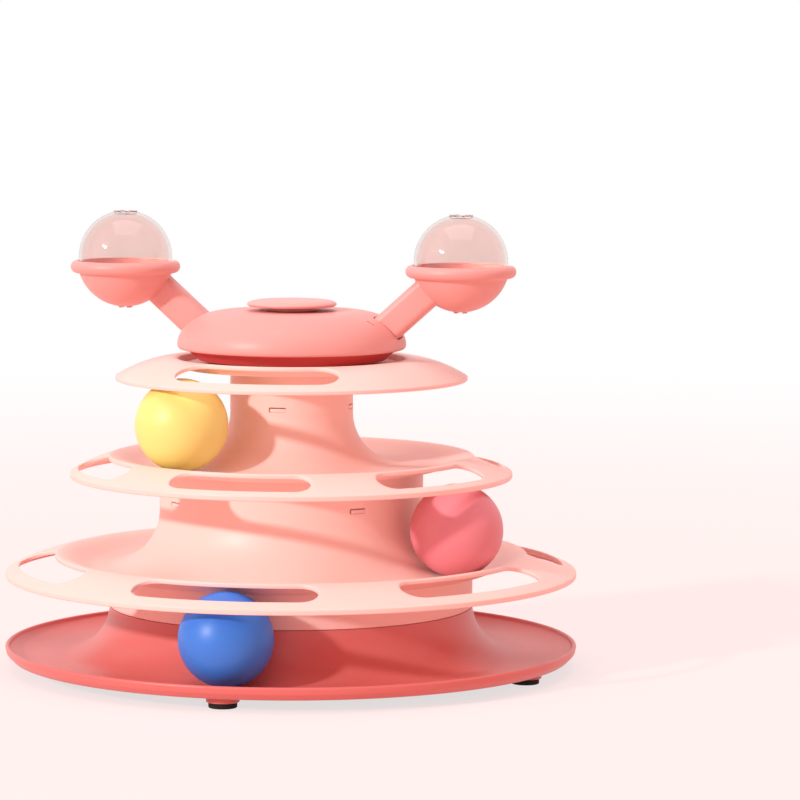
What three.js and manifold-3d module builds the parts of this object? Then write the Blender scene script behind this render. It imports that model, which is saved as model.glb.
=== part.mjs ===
// Cat ball tower: a tray and two tiers that each carry a ball in a round track, a top deck,
// and a two-armed head that turns on a spindle and holds two clear-lidded cups.
// Millimetres, +Z up, the tower's axis on Z, the rubber feet standing on z = 0, front towards -Y.

import * as THREE from 'three';
import { mergeVertices } from 'three/addons/utils/BufferGeometryUtils.js';
import Module from 'manifold-3d';

const wasm = await Module();
wasm.setup();

// Sizes shared by the mouldings
const WALL = 1.8;
const FIT = 0.3;
const SEAT = 0.15;
const BALL_R = 20;
const BALL_WALL = 1.6;
const BALL_VENT_R = 1;
const BALL_OUT = 1.2;
const YELLOW_BALL_OUT = 10.6;
const CUT_PAST = 1;
const BEYOND = 400;

// Rubber feet and the bosses they plug into
const FOOT_R = 6;
const FOOT_H = 2.2;
const FOOT_ROUND = 0.5;
const FOOT_STEM_R = 2.5;
const FOOT_STEM_H = 2.9;
const FOOT_FROM_RIM = 14.5;
const FOOT_FIRST_DEG = -14.8;
const FOOT_SPREAD_DEG = 80;
const FOOT_BOSS_R = 7;
const FOOT_BOSS_H = 2.85;

// Base tray
const BASE_R = 125;
const BASE_LIP_H = 4.1;
const BASE_LIP_T = 1.9;
const BASE_LIP_ROUND = 0.4;
const BASE_WALL_LEAN = 3.2;
const BASE_DISH_W = 12;
const BASE_SIDE_LEAN = 0.6;
const BASE_SIDE_H = 2.6;
const BASE_NECK_R = 79.4;
const BASE_NECK_H = 20.7;
const BASE_FLARE = 22;

// Lower tier
const LOWER_STEP = 38.6;
const LOWER_SPIGOT_H = 7;
const LOWER_NECK_R = 57.6;
const LOWER_NECK_H = 42.45;
const LOWER_FLARE = 24;
const LOWER_FLAT = 3.4;
const LOWER_CREST_R = 102;
const LOWER_CREST_H = 5.2;
const LOWER_RIM_IN = 0.2;
const LOWER_RIM_DROP = 2.6;
const LOWER_RIM_H = 2.2;
const LOWER_BULGE = 0.8;
const LOWER_SLOT_IN = 1.1;
const LOWER_SLOT_OUT = 6;
const LOWER_SLOT_DEG = 41.6;

// Middle tier
const MIDDLE_PLUG_H = 18.35;
const MIDDLE_NECK_R = 26.8;
const MIDDLE_NECK_H = 41.55;
const MIDDLE_FLARE = 22.6;
const MIDDLE_FLAT = 12.4;
const MIDDLE_CREST_R = 79;
const MIDDLE_CREST_H = 3.75;
const MIDDLE_RIM_R = 96.6;
const MIDDLE_RIM_DROP = 3.65;
const MIDDLE_RIM_H = 2.2;
const MIDDLE_BULGE = 0.5;
const MIDDLE_SLOT_IN = 0.8;
const MIDDLE_SLOT_OUT = 3.6;
const MIDDLE_SLOT_DEG = 40.8;

// Brims of both tiers and of the deck: wall measured straight down, and the slots round them
const BRIM_WALL = 1.9;
const TIER_SLOTS = 6;
const SLOT_FIRST_DEG = -15;
const SLOT_REACH = 20;

// Snap windows in the necks and the tongues that catch in them
const SNAP_COUNT = 4;
const SNAP_W = 7;
const SNAP_H = 1.6;
const SNAP_SHY = 0.25;
const LOWER_SNAP_DEG = 29.4;
const LOWER_SNAP_BELOW = 14.15;
const MIDDLE_SNAP_DEG = -13.4;
const MIDDLE_SNAP_BELOW = 16.9;

// Top deck
const DECK_PLUG_H = 21;
const DECK_RECESS_R = 47.4;
const DECK_CREST_R = 51;
const DECK_CREST_H = 2.8;
const DECK_CREST_EDGE_W = 1.4;
const DECK_CREST_EDGE_H = 0.5;
const DECK_RIM_R = 76.8;
const DECK_RIM_DROP = 5.3;
const DECK_RIM_H = 1.6;
const DECK_BULGE = 1.9;
const DECK_SLOTS = 2;
const DECK_SLOT_IN = 1.8;
const DECK_SLOT_OUT = 4.8;
const DECK_SLOT_DEG = 66.5;
const DECK_BOSS_R = 8.5;
const DECK_BOSS_H = 0.8;
const DECK_BOSS_UNDER = 2.2;

// Spindle and bearing
const SPINDLE_R = 3;
const SPINDLE_FLANGE_R = 6.5;
const SPINDLE_FLANGE_T = 2;
const SPINDLE_ABOVE_BUSH = 0.5;
const WASHER_T = 0.8;
const WASHER_R = 7.5;
const BUSH_R = 5;
const BUSH_FLANGE_R = 7.5;
const BUSH_FLANGE_T = 1;
const BUSH_H = 13.5;
const TOP_WASHER_R = 6.5;
const TOP_WASHER_T = 1;
const SPINDLE_SCREW_R = 1.5;
const SPINDLE_SCREW_L = 8;
const SPINDLE_SCREW_HEAD_R = 3;
const SPINDLE_SCREW_HEAD_H = 2.4;

// Turning head: the pan below and the shell above
const HEAD_TURN_DEG = -12;
const PAN_R = 47.2;
const PAN_FOOT_R = 41;
const PAN_CHAMFER = 1.2;
const PAN_HUB_R = 9.5;
const PAN_HUB_H = 13.2;
const PAN_PAD_R = 5;
const SHELL_R = 49.9;
const SHELL_RIM_Z = 5.75;
const SHELL_RIM_DROP = 0.9;
const SHELL_RIM_ROUND = 0.8;
const SHELL_RIM_IN = 1.3;
const SHELL_CROWN_H = 14.7;
const SHELL_FLAT_R = 27.5;
const SHELL_BOSS_R = 4.2;
const SHELL_BOSS_AT = 30;
const SHELL_SLIT_W = 3.2;
const SHELL_SLIT_T = 1.1;
const SHELL_SLIT_AT = 38.3;
const SHELL_SLIT_ASIDE = 7.4;

// Screws of the head, and the tips, crowns and cross recesses of all screws
const SCREW_R = 1.3;
const SCREW_L = 8;
const SCREW_HEAD_R = 2.8;
const SCREW_HEAD_H = 1.4;
const SCREW_HOLE_SPARE = 0.8;
const SCREW_TIP_L = 1;
const SCREW_TIP_IN = 0.5;
const SCREW_CROWN_IN = 0.6;
const SCREW_CROWN_H = 0.8;
const SCREW_RECESS_L = 3.6;
const SCREW_RECESS_W = 0.8;
const SCREW_RECESS_DEEP = 0.7;

// Centre cap
const CAP_R = 19.6;
const CAP_T = 2.6;
const CAP_LIFT = 1.85;
const CAP_EDGE_W = 5;
const CAP_EDGE_H = 1.8;
const CAP_UNDER_IN = 0.8;
const CAP_SHOULDER_R = 11;
const CAP_STEM_R = 9;
const CAP_STEM_H = 4.6;

// Arms and cups
const ARM_THICK = 12;
const ARM_DEEP = 13.3;
const ARM_ROUND = 3;
const ARM_RISE_DEG = 42;
const ARM_ASIDE = 4;
const ARM_ROOT_AT = 30;
const ARM_SCREW_AT = 35.6;
const ARM_GAP = 0.6;
const CUP_AT = 74.6;
const CUP_CENTRE_Z = 42.95;
const CUP_R = 21.2;
const CUP_FLANGE_R = 24;
const CUP_FLANGE_H = 5.4;
const CUP_FLANGE_BELOW = 0.9;
const CUP_FLANGE_ROUND = 2.5;
const CUP_SEAT_DEEP = 3.4;
const CUP_HOLE_R = 1.6;
const CUP_HOLE_LIP_R = 3;
const CUP_HOLE_LIP_H = 0.6;
const LIP_SLOT_W = 2.4;

// Clear domes over the cups
const DOME_R = 20.5;
const DOME_WALL = 1.3;
const DOME_SKIRT_H = 4.75;
const DOME_HOLE_R = 2.4;
const DOME_LIP_R = 5.2;
const DOME_LIP_H = 0.5;

// Where the three balls lie in their tracks, in degrees to the right of the front
const BLUE_BALL_DEG = -15.3;
const RED_BALL_DEG = 58.6;
const YELLOW_BALL_DEG = -51.6;

// Facets round a full turn, and steps along the curves of the tiers
const TIER_FACETS = 36;
const HEAD_FACETS = 28;
const CUP_FACETS = 24;
const BALL_FACETS = 18;
const BALL_RINGS = 11;
const BALL_INNER_FACETS = 8;
const BALL_INNER_RINGS = 6;
const SMALL_FACETS = 12;
const RISE_STEPS = 5;
const BRIM_STEPS = 3;
const DECK_BRIM_STEPS = 4;

// Heights worked up from the floor
const baseUnder = FOOT_H + SEAT + FOOT_BOSS_H;
const baseFloor = baseUnder + WALL;
const baseNeckTop = baseFloor + BASE_NECK_H;
const lowerFloor = baseFloor + LOWER_STEP;
const middleFloor = lowerFloor + LOWER_NECK_H + SEAT + WALL;
const deckFloor = middleFloor + MIDDLE_NECK_H + SEAT + WALL;
const headZ = deckFloor + DECK_BOSS_H + SEAT + WASHER_T + SEAT;

// Radii that follow the tray's rim: the feet's ring, and the lower brim that ends above the rim
const footRingR = BASE_R - FOOT_FROM_RIM;
const lowerRimR = BASE_R - LOWER_RIM_IN;

// Radii that pieces share where they plug together
const lowerNeckBore = LOWER_NECK_R - WALL;
const middleNeckBore = MIDDLE_NECK_R - WALL;
const middlePlugR = lowerNeckBore - FIT;
const deckPlugR = middleNeckBore - FIT;
const spindleBore = SPINDLE_R + FIT;
const capBore = CAP_STEM_R + FIT;
const padTop = SHELL_RIM_Z + WALL;
const screwHeadTop = padTop - WALL + SEAT;
const shellRim = SHELL_RIM_Z - SHELL_RIM_DROP;
const shellEquator = SHELL_RIM_Z + SHELL_RIM_ROUND;
const shellTop = shellEquator + SHELL_CROWN_H;
const cupFlangeTop = CUP_CENTRE_Z - CUP_FLANGE_BELOW;
const cupFlangeLow = cupFlangeTop - CUP_FLANGE_H;
const cupSeat = cupFlangeTop - CUP_SEAT_DEEP;
const cupBore = DOME_R + FIT;
const cupInner = CUP_R - WALL;

// Small helpers for profiles and solids

function rad(degrees) {
  return THREE.MathUtils.degToRad(degrees);
}

function arc(centreR, centreZ, radius, fromDeg, toDeg, steps) {
  const points = [];
  for (let i = 0; i <= steps; i += 1) {
    const angle = rad(fromDeg + ((toDeg - fromDeg) * i) / steps);
    points.push([centreR + radius * Math.cos(angle), centreZ + radius * Math.sin(angle)]);
  }
  return points;
}

function ellipse(centreR, centreZ, wide, high, fromDeg, toDeg, steps) {
  return arc(0, 0, 1, fromDeg, toDeg, steps).map(([x, y]) => [centreR + wide * x, centreZ + high * y]);
}

// Turns a three.js geometry into a closed solid with its faces outwards
function solidOf(geometry) {
  const bare = new THREE.BufferGeometry();
  bare.setAttribute('position', geometry.getAttribute('position'));
  bare.setIndex(geometry.getIndex());
  const merged = mergeVertices(bare, 1e-4);
  const position = merged.getAttribute('position');
  const index = merged.getIndex().array;
  const kept = [];
  let volume = 0;
  const a = new THREE.Vector3();
  const b = new THREE.Vector3();
  const c = new THREE.Vector3();
  for (let i = 0; i < index.length; i += 3) {
    const [p, q, r] = [index[i], index[i + 1], index[i + 2]];
    if (p !== q && q !== r && r !== p) {
      a.fromBufferAttribute(position, p);
      b.fromBufferAttribute(position, q);
      c.fromBufferAttribute(position, r);
      volume += a.dot(b.cross(c));
      kept.push([p, q, r]);
    }
  }
  const triangles = volume > 0 ? kept : kept.map(([p, q, r]) => [p, r, q]);
  const mesh = new wasm.Mesh({
    numProp: 3,
    vertProperties: new Float32Array(position.array),
    triVerts: new Uint32Array(triangles.flat()),
  });
  return new wasm.Manifold(mesh);
}

// Profile points are [radius, height]; a profile off the axis is closed on itself
function turned(profile, facets) {
  const points = profile.map(([r, z]) => new THREE.Vector2(r, z));
  const onAxis = profile[0][0] === 0 && profile[profile.length - 1][0] === 0;
  if (!onAxis) {
    points.push(points[0].clone());
  }
  const geometry = new THREE.LatheGeometry(points, facets);
  geometry.rotateX(Math.PI / 2);
  return solidOf(geometry);
}

// Equal shares from 0 to 1
function shares(steps) {
  return Array.from({ length: steps + 1 }, (_, i) => i / steps);
}

function block(sizeX, sizeY, sizeZ, x, y, z) {
  return solidOf(new THREE.BoxGeometry(sizeX, sizeY, sizeZ).translate(x, y, z));
}

function rod(radius, lowZ, highZ, x, y) {
  const geometry = new THREE.CylinderGeometry(radius, radius, highZ - lowZ, SMALL_FACETS);
  geometry.rotateX(Math.PI / 2);
  geometry.translate(x, y, (lowZ + highZ) / 2);
  return solidOf(geometry);
}

// Everything above a height and to the right of a place on X
function spaceAbove(z, fromX) {
  return block(BEYOND, BEYOND, BEYOND, fromX + BEYOND / 2, 0, z + BEYOND / 2);
}

// Angle from the front, positive to the right, as a turn about Z of something drawn towards +X
function frontTurn(degrees) {
  return rad(degrees - 90);
}

// Upright cutter for a long slot with round ends, drawn round the axis
function slotCutter(innerR, outerR, lengthDeg, centreDeg) {
  const endR = (outerR - innerR) / 2;
  const midR = (outerR + innerR) / 2;
  const endDeg = THREE.MathUtils.radToDeg(endR / midR);
  const half = lengthDeg / 2 - endDeg;
  const outline = arc(0, 0, outerR, -half, half, 4);
  const [highX, highY] = [midR * Math.cos(rad(half)), midR * Math.sin(rad(half))];
  outline.push(...arc(highX, highY, endR, half, half + 180, 4).slice(1));
  outline.push(...arc(0, 0, innerR, half, -half, 4).slice(1));
  const [lowX, lowY] = [midR * Math.cos(rad(-half)), midR * Math.sin(rad(-half))];
  outline.push(...arc(lowX, lowY, endR, 180 - half, 360 - half, 4).slice(1, -1));
  const shape = new THREE.Shape(outline.map(([x, y]) => new THREE.Vector2(x, y)));
  const geometry = new THREE.ExtrudeGeometry(shape, { depth: 2 * SLOT_REACH, bevelEnabled: false });
  geometry.translate(0, 0, -SLOT_REACH);
  geometry.rotateZ(frontTurn(centreDeg));
  return solidOf(sequential(geometry));
}

function sequential(geometry) {
  if (geometry.getIndex() === null) {
    const count = geometry.getAttribute('position').count;
    geometry.setIndex([...Array(count).keys()]);
  }
  return geometry;
}

// Radial block at an angle from the front, used for snap windows and snap tongues
function snapBlock(innerR, outerR, width, lowZ, highZ, degrees) {
  const geometry = new THREE.BoxGeometry(outerR - innerR, width, highZ - lowZ);
  geometry.translate((innerR + outerR) / 2, 0, (lowZ + highZ) / 2);
  geometry.rotateZ(frontTurn(degrees));
  return solidOf(geometry);
}

function repeatRound(count, firstDeg, make) {
  const solids = [];
  for (let i = 0; i < count; i += 1) {
    solids.push(make(firstDeg + (360 * i) / count));
  }
  return solids;
}

function cutAll(solid, cutters) {
  return cutters.reduce((left, cutter) => left.subtract(cutter), solid);
}

function joinAll(solid, others) {
  return others.reduce((whole, other) => whole.add(other), solid);
}

function meshOf(name, solid, material) {
  const data = solid.getMesh();
  const geometry = new THREE.BufferGeometry();
  geometry.setAttribute('position', new THREE.BufferAttribute(new Float32Array(data.vertProperties), 3));
  geometry.setIndex(new THREE.BufferAttribute(new Uint32Array(data.triVerts), 1));
  geometry.computeVertexNormals();
  const mesh = new THREE.Mesh(geometry, material);
  mesh.name = name;
  return mesh;
}

// Materials
function plastic(color, roughness) {
  return new THREE.MeshStandardMaterial({ color, roughness, metalness: 0 });
}
const palePink = plastic('#fbdcd2', 0.5);
const coral = plastic('#ef8f89', 0.5);
const rose = plastic('#f7b1aa', 0.5);
const whiteNylon = plastic('#ece8e0', 0.45);
const blackRubber = plastic('#1d1b1b', 0.85);
const steel = new THREE.MeshStandardMaterial({ color: '#b9bcc0', roughness: 0.3, metalness: 1 });
const clearPlastic = new THREE.MeshStandardMaterial({
  color: '#f3e7e6',
  roughness: 0.08,
  metalness: 0,
  transparent: true,
  opacity: 0.3,
});

const tower = new THREE.Group();
tower.name = 'cat_ball_tower';

// Rubber feet: a round pad with a stem that plugs up into a boss under the tray
const footRing = [0, FOOT_SPREAD_DEG, 180, 180 + FOOT_SPREAD_DEG].map((turn) => ({
  x: footRingR * Math.sin(rad(FOOT_FIRST_DEG + turn)),
  y: -footRingR * Math.cos(rad(FOOT_FIRST_DEG + turn)),
}));
footRing.forEach(({ x, y }, i) => {
  const foot = turned([
    [0, 0],
    [FOOT_R - FOOT_ROUND, 0],
    [FOOT_R, FOOT_ROUND],
    [FOOT_R, FOOT_H],
    [FOOT_STEM_R, FOOT_H],
    [FOOT_STEM_R, FOOT_H + FOOT_STEM_H],
    [0, FOOT_H + FOOT_STEM_H],
  ], SMALL_FACETS);
  const mesh = meshOf(`rubber_foot_${i + 1}`, foot, blackRubber);
  mesh.position.set(x, y, 0);
  tower.add(mesh);
});

// Base tray: floor that dishes up to a lip outside and flares up into a short neck inside
const baseFlareR = BASE_NECK_R + BASE_FLARE;
const baseFlareZ = baseFloor + BASE_FLARE;
const baseTopDeg = 180 + THREE.MathUtils.radToDeg(Math.asin((baseFlareZ - baseNeckTop) / BASE_FLARE));
const baseUnderFlare = BASE_FLARE + WALL;
const baseUnderDeg = 180 + THREE.MathUtils.radToDeg(Math.asin((baseFlareZ - baseNeckTop) / baseUnderFlare));
const baseNeckBore = baseFlareR + baseUnderFlare * Math.cos(rad(baseUnderDeg));
const baseLipTop = baseFloor + BASE_LIP_H;
const baseDishR = BASE_R - BASE_LIP_T - BASE_DISH_W;
const baseDishH = BASE_LIP_H - BASE_LIP_ROUND;
let baseTray = turned([
  ...arc(baseFlareR, baseFlareZ, BASE_FLARE, baseTopDeg, 270, 5),
  ...ellipse(baseDishR, baseFloor + baseDishH, BASE_DISH_W, baseDishH, 270, 360, 4),
  [BASE_R - BASE_LIP_T / 2, baseLipTop],
  [BASE_R, baseLipTop - BASE_LIP_ROUND],
  [BASE_R - BASE_SIDE_LEAN, baseUnder + BASE_SIDE_H],
  [BASE_R - BASE_WALL_LEAN, baseUnder],
  ...arc(baseFlareR, baseFlareZ, baseUnderFlare, 270, baseUnderDeg, 4),
], TIER_FACETS);
baseTray = joinAll(baseTray, footRing.map(({ x, y }) => (
  rod(FOOT_BOSS_R, FOOT_H + SEAT, baseUnder + WALL / 2, x, y)
)));
baseTray = cutAll(baseTray, footRing.map(({ x, y }) => (
  rod(FOOT_STEM_R + FIT, 0, FOOT_H + FOOT_STEM_H + FIT, x, y)
)));
tower.add(meshOf('base_tray', baseTray, coral));

// The underside of a point on a brim
function brimUnder([r, z]) {
  return [r, z - BRIM_WALL];
}

// A tier's profile in its own frame, with the channel floor at height 0: neck, flare, channel
// floor, rise to the crest, brim that falls to the rim, and the same walls back underneath.
// The foot is the list of points of the skirt or plug below it, from outside to inside.
function tierProfile(size, foot, footInnerR) {
  const flareR = size.neckR + size.flare;
  const flatR = flareR + size.flat;
  const rise = shares(RISE_STEPS).map((t) => [
    flatR + t * (size.crestR - flatR),
    size.crestH * t * t * (3 - 2 * t),
  ]);
  const brim = shares(BRIM_STEPS).slice(1).map((t) => [
    size.crestR + t * (size.rimR - size.crestR),
    size.crestH - t * (size.crestH + size.rimDrop) + 4 * size.bulge * t * (1 - t),
  ]);
  const underFlare = size.flare + WALL;
  const footDeg = footInnerR < flareR
    ? 270 - THREE.MathUtils.radToDeg(Math.asin((flareR - footInnerR) / underFlare))
    : 270;
  return [
    [size.neckR, size.neckH],
    ...arc(flareR, size.flare, size.flare, 180, 270, 4),
    ...rise,
    ...brim,
    [size.rimR, -size.rimDrop - size.rimH],
    [size.rimR - WALL, -size.rimDrop - size.rimH],
    ...brim.slice(0, -1).reverse().map(brimUnder),
    ...rise.slice(2).reverse().map(brimUnder),
    [flatR, -WALL],
    ...foot,
    ...arc(flareR, size.flare, underFlare, footDeg, 180, 3),
    [size.neckR - WALL, size.neckH],
  ];
}

// Long slots round a brim
function brimSlots(size, count) {
  return repeatRound(count, SLOT_FIRST_DEG, (degrees) => slotCutter(
    size.crestR + size.slotIn,
    size.rimR - size.slotOut,
    size.slotDeg,
    degrees,
  ));
}

// Snap windows through a neck wall, measured down from the neck's top edge
function snapWindows(neckR, neckTop, below, firstDeg) {
  return repeatRound(SNAP_COUNT, firstDeg, (degrees) => snapBlock(
    neckR - WALL * 2,
    neckR + WALL,
    SNAP_W + FIT * 2,
    neckTop - below - FIT,
    neckTop - below + SNAP_H + FIT,
    degrees,
  ));
}

// Snap tongues on a plug, at the height of the windows they catch in
function snapTongues(plugR, neckR, neckTop, below, firstDeg) {
  return repeatRound(SNAP_COUNT, firstDeg, (degrees) => snapBlock(
    plugR - WALL / 2,
    neckR - SNAP_SHY,
    SNAP_W,
    neckTop - below,
    neckTop - below + SNAP_H,
    degrees,
  ));
}

// Lower tier: its skirt stands on the base neck and its spigot drops inside that neck
const lowerSize = {
  neckR: LOWER_NECK_R,
  neckH: LOWER_NECK_H,
  flare: LOWER_FLARE,
  flat: LOWER_FLAT,
  crestR: LOWER_CREST_R,
  crestH: LOWER_CREST_H,
  rimR: lowerRimR,
  rimDrop: LOWER_RIM_DROP,
  rimH: LOWER_RIM_H,
  bulge: LOWER_BULGE,
  slotIn: LOWER_SLOT_IN,
  slotOut: LOWER_SLOT_OUT,
  slotDeg: LOWER_SLOT_DEG,
};
const skirtLow = baseNeckTop + SEAT - lowerFloor;
const spigotR = baseNeckBore - FIT;
const spigotInner = spigotR - WALL;
let lowerTier = turned(tierProfile(lowerSize, [
  [BASE_NECK_R, -WALL],
  [BASE_NECK_R, skirtLow],
  [spigotR, skirtLow],
  [spigotR, skirtLow - LOWER_SPIGOT_H],
  [spigotInner, skirtLow - LOWER_SPIGOT_H],
], spigotInner), TIER_FACETS);
lowerTier = cutAll(lowerTier, [
  ...brimSlots(lowerSize, TIER_SLOTS),
  ...snapWindows(LOWER_NECK_R, LOWER_NECK_H, LOWER_SNAP_BELOW, LOWER_SNAP_DEG),
]);
const lowerMesh = meshOf('lower_tier', lowerTier, palePink);
lowerMesh.position.z = lowerFloor;
tower.add(lowerMesh);

// Middle tier: sits on the lower neck, its plug inside that neck with tongues in the windows
const middleSize = {
  neckR: MIDDLE_NECK_R,
  neckH: MIDDLE_NECK_H,
  flare: MIDDLE_FLARE,
  flat: MIDDLE_FLAT,
  crestR: MIDDLE_CREST_R,
  crestH: MIDDLE_CREST_H,
  rimR: MIDDLE_RIM_R,
  rimDrop: MIDDLE_RIM_DROP,
  rimH: MIDDLE_RIM_H,
  bulge: MIDDLE_BULGE,
  slotIn: MIDDLE_SLOT_IN,
  slotOut: MIDDLE_SLOT_OUT,
  slotDeg: MIDDLE_SLOT_DEG,
};
const middlePlugInner = middlePlugR - WALL;
const lowerNeckTop = -WALL - SEAT;
let middleTier = turned(tierProfile(middleSize, [
  [middlePlugR, -WALL],
  [middlePlugR, -WALL - MIDDLE_PLUG_H],
  [middlePlugInner, -WALL - MIDDLE_PLUG_H],
  [middlePlugInner, -WALL],
], middlePlugInner), TIER_FACETS);
middleTier = joinAll(middleTier, snapTongues(
  middlePlugR,
  LOWER_NECK_R,
  lowerNeckTop,
  LOWER_SNAP_BELOW,
  LOWER_SNAP_DEG,
));
middleTier = cutAll(middleTier, [
  ...brimSlots(middleSize, TIER_SLOTS),
  ...snapWindows(MIDDLE_NECK_R, MIDDLE_NECK_H, MIDDLE_SNAP_BELOW, MIDDLE_SNAP_DEG),
]);
const middleMesh = meshOf('middle_tier', middleTier, palePink);
middleMesh.position.z = middleFloor;
tower.add(middleMesh);

// Top deck: a recessed floor for the head, a crest, a domed brim and a plug in the middle neck
const deckBrim = shares(DECK_BRIM_STEPS).map((t) => [
  DECK_CREST_R + t * (DECK_RIM_R - DECK_CREST_R),
  DECK_CREST_H - t * (DECK_CREST_H + DECK_RIM_DROP) + 4 * DECK_BULGE * t * (1 - t),
]);
const deckPlugInner = deckPlugR - WALL;
let topDeck = turned([
  [spindleBore, DECK_BOSS_H],
  [DECK_BOSS_R, DECK_BOSS_H],
  [DECK_BOSS_R, 0],
  [DECK_RECESS_R, 0],
  [DECK_CREST_R - DECK_CREST_EDGE_W, DECK_CREST_H - DECK_CREST_EDGE_H],
  ...deckBrim,
  [DECK_RIM_R, -DECK_RIM_DROP - DECK_RIM_H],
  [DECK_RIM_R - WALL, -DECK_RIM_DROP - DECK_RIM_H],
  ...deckBrim.slice(0, -1).reverse().map(brimUnder),
  [DECK_RECESS_R, -WALL],
  [deckPlugR, -WALL],
  [deckPlugR, -WALL - DECK_PLUG_H],
  [deckPlugInner, -WALL - DECK_PLUG_H],
  [deckPlugInner, -WALL],
  [DECK_BOSS_R, -WALL],
  [DECK_BOSS_R, -WALL - DECK_BOSS_UNDER],
  [spindleBore, -WALL - DECK_BOSS_UNDER],
], TIER_FACETS);
topDeck = joinAll(topDeck, snapTongues(
  deckPlugR,
  MIDDLE_NECK_R,
  -WALL - SEAT,
  MIDDLE_SNAP_BELOW,
  MIDDLE_SNAP_DEG,
));
const deckSize = {
  crestR: DECK_CREST_R,
  rimR: DECK_RIM_R,
  slotIn: DECK_SLOT_IN,
  slotOut: DECK_SLOT_OUT,
  slotDeg: DECK_SLOT_DEG,
};
topDeck = cutAll(topDeck, brimSlots(deckSize, DECK_SLOTS));
const deckMesh = meshOf('top_deck', topDeck, palePink);
deckMesh.position.z = deckFloor;
tower.add(deckMesh);

// Spindle: a steel pin pushed up through the deck's boss, tapped at the top for a screw
const spindleTop = headZ - deckFloor + BUSH_H + SPINDLE_ABOVE_BUSH;
const spindleFlangeTop = -WALL - DECK_BOSS_UNDER - SEAT;
const screwTip = spindleTop + SEAT + TOP_WASHER_T + SEAT - SPINDLE_SCREW_L;
const spindle = turned([
  [0, spindleFlangeTop - SPINDLE_FLANGE_T],
  [SPINDLE_FLANGE_R, spindleFlangeTop - SPINDLE_FLANGE_T],
  [SPINDLE_FLANGE_R, spindleFlangeTop],
  [SPINDLE_R, spindleFlangeTop],
  [SPINDLE_R, spindleTop],
  [SPINDLE_SCREW_R + FIT, spindleTop],
  [SPINDLE_SCREW_R + FIT, screwTip - FIT],
  [0, screwTip - FIT],
], SMALL_FACETS);
const spindleMesh = meshOf('spindle', spindle, steel);
spindleMesh.position.z = deckFloor;
tower.add(spindleMesh);

// Thrust washer between the deck's boss and the head's bush
const thrustWasher = turned([
  [spindleBore, 0],
  [WASHER_R, 0],
  [WASHER_R, WASHER_T],
  [spindleBore, WASHER_T],
], SMALL_FACETS);
const thrustMesh = meshOf('thrust_washer', thrustWasher, whiteNylon);
thrustMesh.position.z = deckFloor + DECK_BOSS_H + SEAT;
tower.add(thrustMesh);

// Screw and washer that keep the head on the spindle
const topWasher = turned([
  [SPINDLE_SCREW_R + FIT, 0],
  [TOP_WASHER_R, 0],
  [TOP_WASHER_R, TOP_WASHER_T],
  [SPINDLE_SCREW_R + FIT, TOP_WASHER_T],
], SMALL_FACETS);
const topWasherMesh = meshOf('spindle_washer', topWasher, steel);
topWasherMesh.position.z = deckFloor + spindleTop + SEAT;
tower.add(topWasherMesh);

function crossScrew(shankR, shankL, headR, headH) {
  const screw = turned([
    [0, -shankL],
    [shankR - SCREW_TIP_IN, -shankL],
    [shankR, SCREW_TIP_L - shankL],
    [shankR, 0],
    [headR, 0],
    [headR, headH - SCREW_CROWN_H],
    [headR - SCREW_CROWN_IN, headH],
    [0, headH],
  ], SMALL_FACETS);
  return cutAll(screw, [
    block(SCREW_RECESS_L, SCREW_RECESS_W, 2 * SCREW_RECESS_DEEP, 0, 0, headH),
    block(SCREW_RECESS_W, SCREW_RECESS_L, 2 * SCREW_RECESS_DEEP, 0, 0, headH),
  ]);
}
const spindleScrew = crossScrew(
  SPINDLE_SCREW_R,
  SPINDLE_SCREW_L,
  SPINDLE_SCREW_HEAD_R,
  SPINDLE_SCREW_HEAD_H,
);
const spindleScrewMesh = meshOf('spindle_screw', spindleScrew, steel);
spindleScrewMesh.position.z = deckFloor + spindleTop + SEAT + TOP_WASHER_T + SEAT;
tower.add(spindleScrewMesh);

// Turning head, in its own frame with its underside at height 0 and its arms along X
const head = new THREE.Group();
head.name = 'head';
head.position.z = headZ;
head.rotation.z = rad(HEAD_TURN_DEG);
tower.add(head);

// Bush: flanged nylon sleeve that turns on the spindle
const bush = turned([
  [spindleBore, 0],
  [BUSH_FLANGE_R, 0],
  [BUSH_FLANGE_R, BUSH_FLANGE_T],
  [BUSH_R, BUSH_FLANGE_T],
  [BUSH_R, BUSH_H],
  [spindleBore, BUSH_H],
], SMALL_FACETS);
head.add(meshOf('hub_bush', bush, whiteNylon));

// An arm's straight bar, from below the pan up to the cup's centre, grown by a clearance
function armBar(clearance) {
  const halfThick = ARM_THICK / 2 + clearance;
  const halfDeep = ARM_DEEP / 2 + clearance;
  const round = ARM_ROUND + clearance;
  const outline = [
    ...arc(halfThick - round, halfDeep - round, round, 0, 90, 4),
    ...arc(round - halfThick, halfDeep - round, round, 90, 180, 4),
    ...arc(round - halfThick, round - halfDeep, round, 180, 270, 4),
    ...arc(halfThick - round, round - halfDeep, round, 270, 360, 4),
  ];
  const shape = new THREE.Shape(outline.map(([x, y]) => new THREE.Vector2(x, y)));
  const length = CUP_AT / Math.cos(rad(ARM_RISE_DEG));
  const geometry = new THREE.ExtrudeGeometry(shape, { depth: length, bevelEnabled: false });
  const [c, s] = [Math.cos(rad(ARM_RISE_DEG)), Math.sin(rad(ARM_RISE_DEG))];
  const across = new THREE.Vector3(0, 1, 0);
  const over = new THREE.Vector3(-s, 0, c);
  const along = new THREE.Vector3(c, 0, s);
  const start = new THREE.Vector3(CUP_AT, -ARM_ASIDE, CUP_CENTRE_Z).addScaledVector(along, -length);
  const matrix = new THREE.Matrix4().makeBasis(across, over, along).setPosition(start);
  geometry.applyMatrix4(matrix);
  return sequential(geometry);
}
function bothSides(geometryMaker) {
  return [solidOf(geometryMaker()), solidOf(geometryMaker().rotateZ(Math.PI))];
}
const armOpenings = bothSides(() => armBar(ARM_GAP));

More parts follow.
